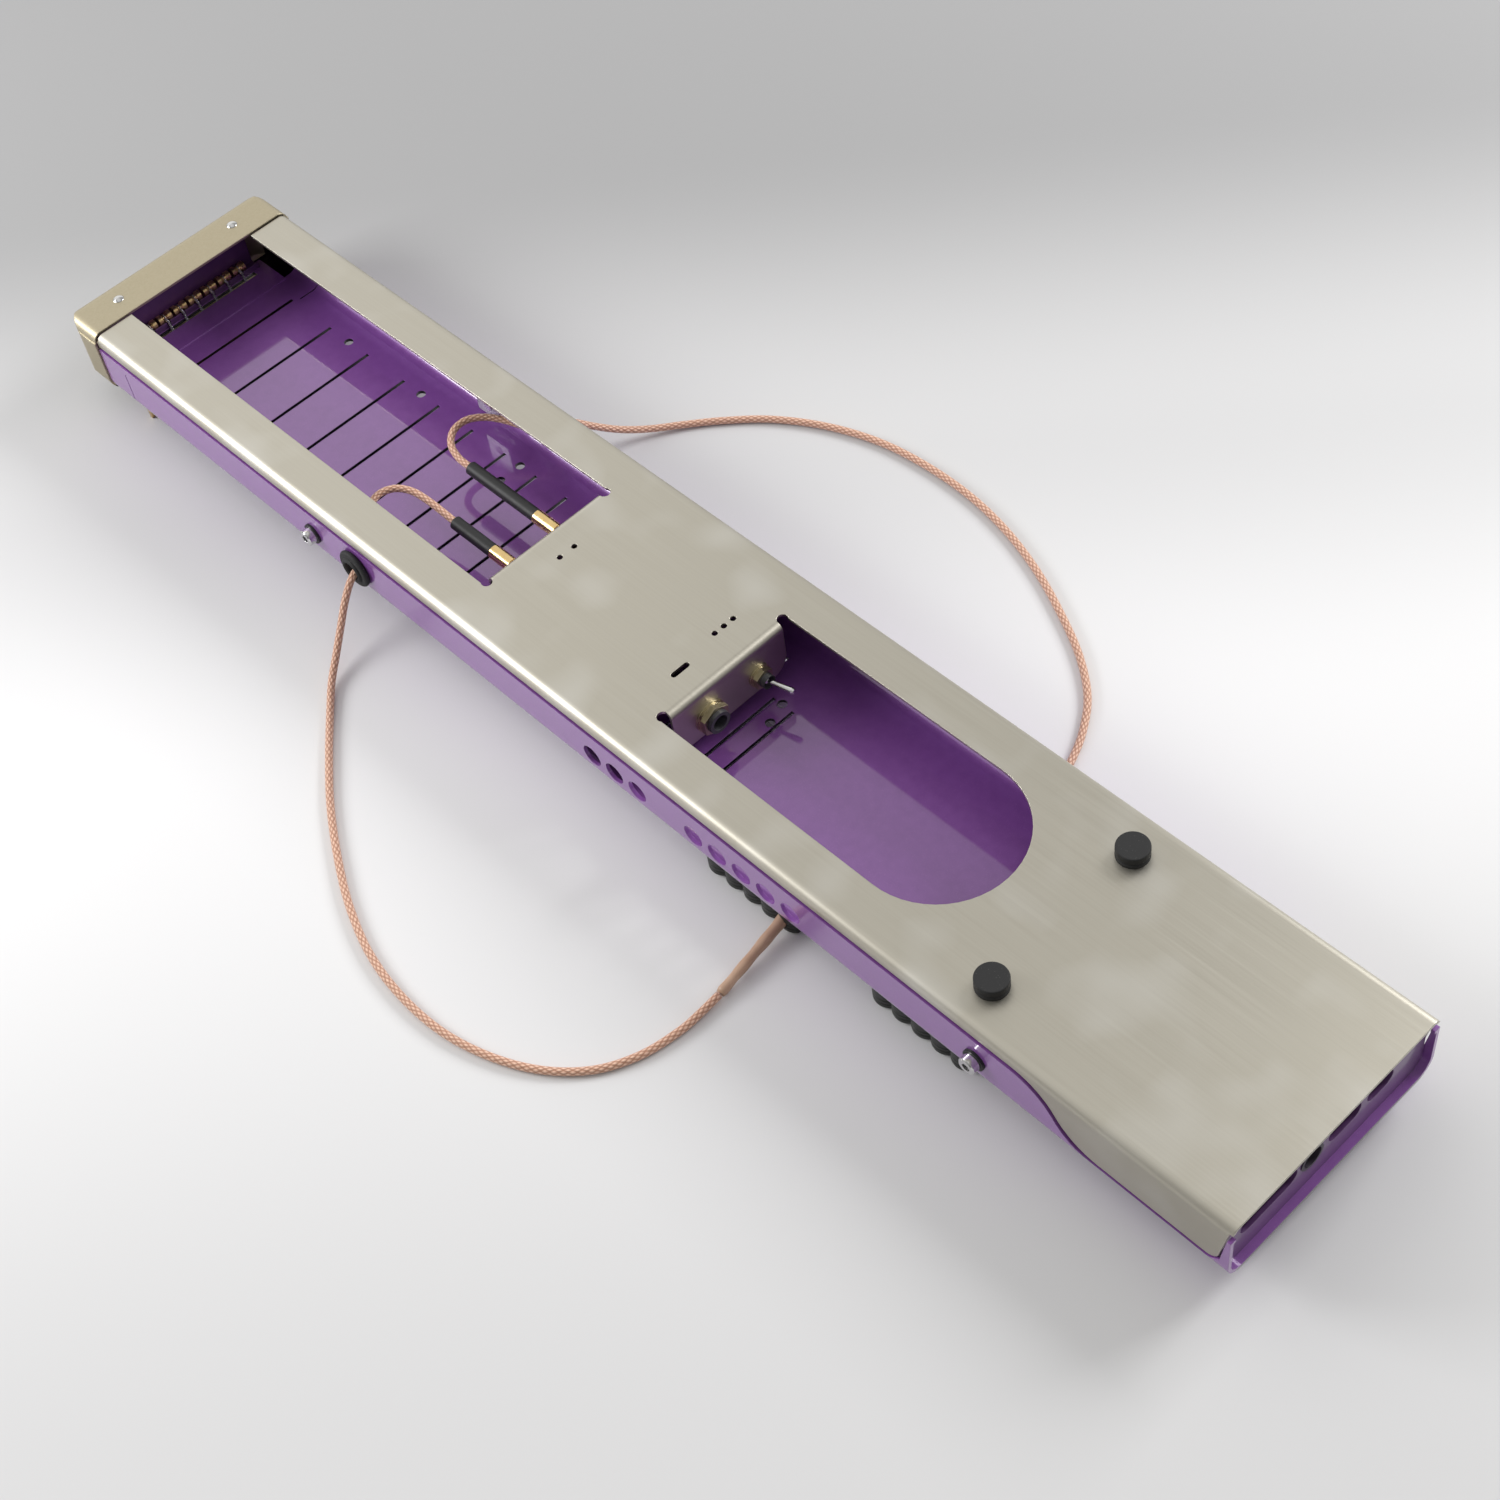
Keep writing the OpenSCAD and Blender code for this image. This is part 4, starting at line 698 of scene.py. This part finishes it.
def string_end_tree():
    """For each string a loop, a short winding that leads on from it and a longer one that hangs below."""
    tree, given, out = new_tree("string_ends", (
        ("Strings", "Int", STRINGS), ("Pitch", "Vector", (0, STRING_PITCH / 1000, 0)),
        ("First Ball", "Vector", None),
        ("Loop Radius", "Float", 0.0018), ("Wire Radius", "Float", 0.00022), ("Turns", "Float", 6.0),
        ("Winding Length", "Float", 0.0055), ("Material", "Material", None)))
    loop = add_node(tree, "GeometryNodeCurvePrimitiveCircle", {"Resolution": 24})
    stand = add_node(tree, "GeometryNodeTransform", {"Rotation": (math.pi / 2, 0, 0)})
    winding = add_node(tree, "GeometryNodeCurveSpiral",
                       {"Resolution": 12, "Start Radius": 0.0006, "End Radius": 0.00045})
    lead = add_node(tree, "GeometryNodeTransform",
                    {"Translation": LEAD_AT, "Rotation": (0, math.radians(LEAD_TURN), 0),
                     "Scale": (1, 1, LEAD_SQUEEZE)})
    hang = add_node(tree, "GeometryNodeTransform",
                    {"Translation": HANG_AT, "Rotation": (0, math.radians(HANG_TURN), 0)})
    both = add_node(tree, "GeometryNodeJoinGeometry")
    profile = add_node(tree, "GeometryNodeCurvePrimitiveCircle", {"Resolution": 6})
    wire = add_node(tree, "GeometryNodeCurveToMesh", {"Fill Caps": True})
    row = add_node(tree, "GeometryNodeMeshLine")
    scatter = add_node(tree, "GeometryNodeInstanceOnPoints")
    link = tree.links.new
    link(given.outputs["Loop Radius"], loop.inputs["Radius"])
    link(loop.outputs["Curve"], stand.inputs["Geometry"])
    link(given.outputs["Turns"], winding.inputs["Rotations"])
    link(given.outputs["Winding Length"], winding.inputs["Height"])
    link(winding.outputs["Curve"], lead.inputs["Geometry"])
    link(winding.outputs["Curve"], hang.inputs["Geometry"])
    for piece in (stand, lead, hang):
        link(piece.outputs["Geometry"], both.inputs["Geometry"])
    link(given.outputs["Wire Radius"], profile.inputs["Radius"])
    link(both.outputs["Geometry"], wire.inputs["Curve"])
    link(profile.outputs["Curve"], wire.inputs["Profile Curve"])
    link(given.outputs["Strings"], row.inputs["Count"])
    link(given.outputs["First Ball"], row.inputs["Start Location"])
    link(given.outputs["Pitch"], row.inputs["Offset"])
    link(row.outputs["Mesh"], scatter.inputs["Points"])
    link(wire.outputs["Mesh"], scatter.inputs["Instance"])
    made_real(tree, given, out, scatter.outputs["Instances"])
    return tree


string_ends = grown(string_end_tree(), "twisted_string_ends", string_steel,
                    First_Ball=place(BALL_U, string_y(1), BALL_Z))
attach(string_ends, "body")
print("string ends:", len(string_ends.data.polygons), "faces")

# %% [markdown]
# ## Table, light and background
# The body lies on a plain pale surface. A studio table is brightest under its lamps and falls to a soft
# grey between them. That light and shade is painted on this one: a ramp of greys over about a metre on
# each side of the body, along the direction that runs up the picture.

# %% Table
TABLE_SIZE = 40
UPHILL = (-0.62, 0.58, 0)
# Painted light and shade: the greys of the table's ramp.
PAINTED_LIGHT_GREYS = ((0.0, 236), (0.25, 200), (0.375, 214), (0.485, 230), (0.55, 206), (0.63, 164), (0.72, 168),
         (1.0, 236))
bpy.ops.mesh.primitive_plane_add(size=TABLE_SIZE)
table = bpy.context.object
table.name = "table"
table_painted_light = bpy.data.materials.new("table_with_painted_light")
table_painted_light.use_nodes = True
table_tree = table_painted_light.node_tree
table_shader = table_tree.nodes["Principled BSDF"]
table_shader.inputs["Roughness"].default_value = 0.9
table_shader.inputs["Specular IOR Level"].default_value = 0.1
uphill = add_node(table_tree, "ShaderNodeVectorMath", operation="DOT_PRODUCT")
uphill.inputs[1].default_value = UPHILL
spread = add_node(table_tree, "ShaderNodeMapRange", {"From Min": -1.0, "From Max": 1.0})
fall = add_node(table_tree, "ShaderNodeValToRGB")
fall.color_ramp.interpolation = "EASE"
stops = fall.color_ramp.elements
ready = len(stops)
for n, (at, grey) in enumerate(PAINTED_LIGHT_GREYS):
    stop = stops[n] if n < ready else stops.new(at)
    stop.position, stop.color = at, tone(grey, grey, grey + 1)
table_tree.links.new(coordinates(table_tree, "Object"), uphill.inputs[0])
table_tree.links.new(uphill.outputs["Value"], spread.inputs["Value"])
table_tree.links.new(spread.outputs["Result"], fall.inputs["Fac"])
table_tree.links.new(fall.outputs["Color"], table_shader.inputs["Base Color"])
table.data.materials.append(table_painted_light)
print("table laid,", TABLE_SIZE, "m wide")

# %% [markdown]
# The world is the big soft ceiling that the steel mirrors. It is bright beyond the head and straight
# above, and dimmer between, which leaves the tail wall and the second window's floor in soft shade. A
# darker horizon on the near side draws the dark line that a bent edge of steel shows under its shine.
# Only the camera sees a plain grey instead, above the horizon of the table.

# %% World
WARM_WHITE = (1.0, 0.99, 0.97, 1.0)
BACKDROP = 0.5
world = bpy.data.worlds.new("studio")
scene.world = world
world.use_nodes = True
world_tree = world.node_tree
sky = world_tree.nodes["Background"]
sky.inputs["Color"].default_value = WARM_WHITE
facing = add_node(world_tree, "ShaderNodeSeparateXYZ")
world_tree.links.new(coordinates(world_tree, "Generated"), facing.inputs["Vector"])


def glow(axis, low, high, at_low, at_high):
    """Brightness that changes smoothly with one coordinate of the direction looked in."""
    rise = add_node(world_tree, "ShaderNodeMapRange",
                    {"From Min": low, "From Max": high, "To Min": at_low, "To Max": at_high},
                    interpolation_type="SMOOTHSTEP")
    world_tree.links.new(facing.outputs[axis], rise.inputs["Value"])
    return rise.outputs["Result"]


beyond_head = glow("X", low=-0.7, high=-0.25, at_low=1.05, at_high=0.43)
overhead = glow("Z", low=0.84, high=0.98, at_low=0.0, at_high=0.38)
near_the_floor = glow("Z", low=0.05, high=0.5, at_low=0.3, at_high=1.0)
far_side = glow("Y", low=-0.5, high=0.1, at_low=0.0, at_high=1.0)
dark_horizon = worked_out(world_tree, "MAXIMUM", near_the_floor, far_side)
ceiling = worked_out(world_tree, "ADD", beyond_head, overhead)
shade = worked_out(world_tree, "MULTIPLY", ceiling, dark_horizon)
seen = add_node(world_tree, "ShaderNodeLightPath")
backdrop = add_node(world_tree, "ShaderNodeMix", {"B": BACKDROP})
world_tree.links.new(seen.outputs["Is Camera Ray"], backdrop.inputs["Factor"])
world_tree.links.new(shade, backdrop.inputs["A"])
world_tree.links.new(backdrop.outputs["Result"], sky.inputs["Strength"])
print("world has", len(world_tree.nodes), "nodes")

# %% [markdown]
# A broad lamp on the far side throws the shadow towards the camera. One near the head lights the near
# side and reaches through the first window, less and less towards the tail.

# %% Lamps


def lamp(name, at, towards, size, watts):
    """A rectangular area lamp that stands at one point and is aimed at another."""
    data = bpy.data.lights.new(name, "AREA")
    data.shape = "RECTANGLE"
    data.size, data.size_y = size
    data.energy = watts
    light = bpy.data.objects.new(name, data)
    scene.collection.objects.link(light)
    light.location = at
    light.rotation_euler = (Vector(towards) - Vector(at)).to_track_quat("-Z", "Y").to_euler()


lamp("far_lamp", at=(0.4, 1.3, 0.85), towards=(0.1, 0, 0), size=(0.8, 0.6), watts=18)
lamp("near_fill", at=(-0.7, -0.62, 0.5), towards=(-0.25, 0, 0), size=(0.5, 0.4), watts=6.5)

# %% [markdown]
# Blender's usual view of a render softens strong colours, as film does. The Standard view shows them as
# they are written above, which makes them easy to compare with a photo.

# %% Colours as written
scene.view_settings.view_transform = "Standard"
print("view transform:", scene.view_settings.view_transform)
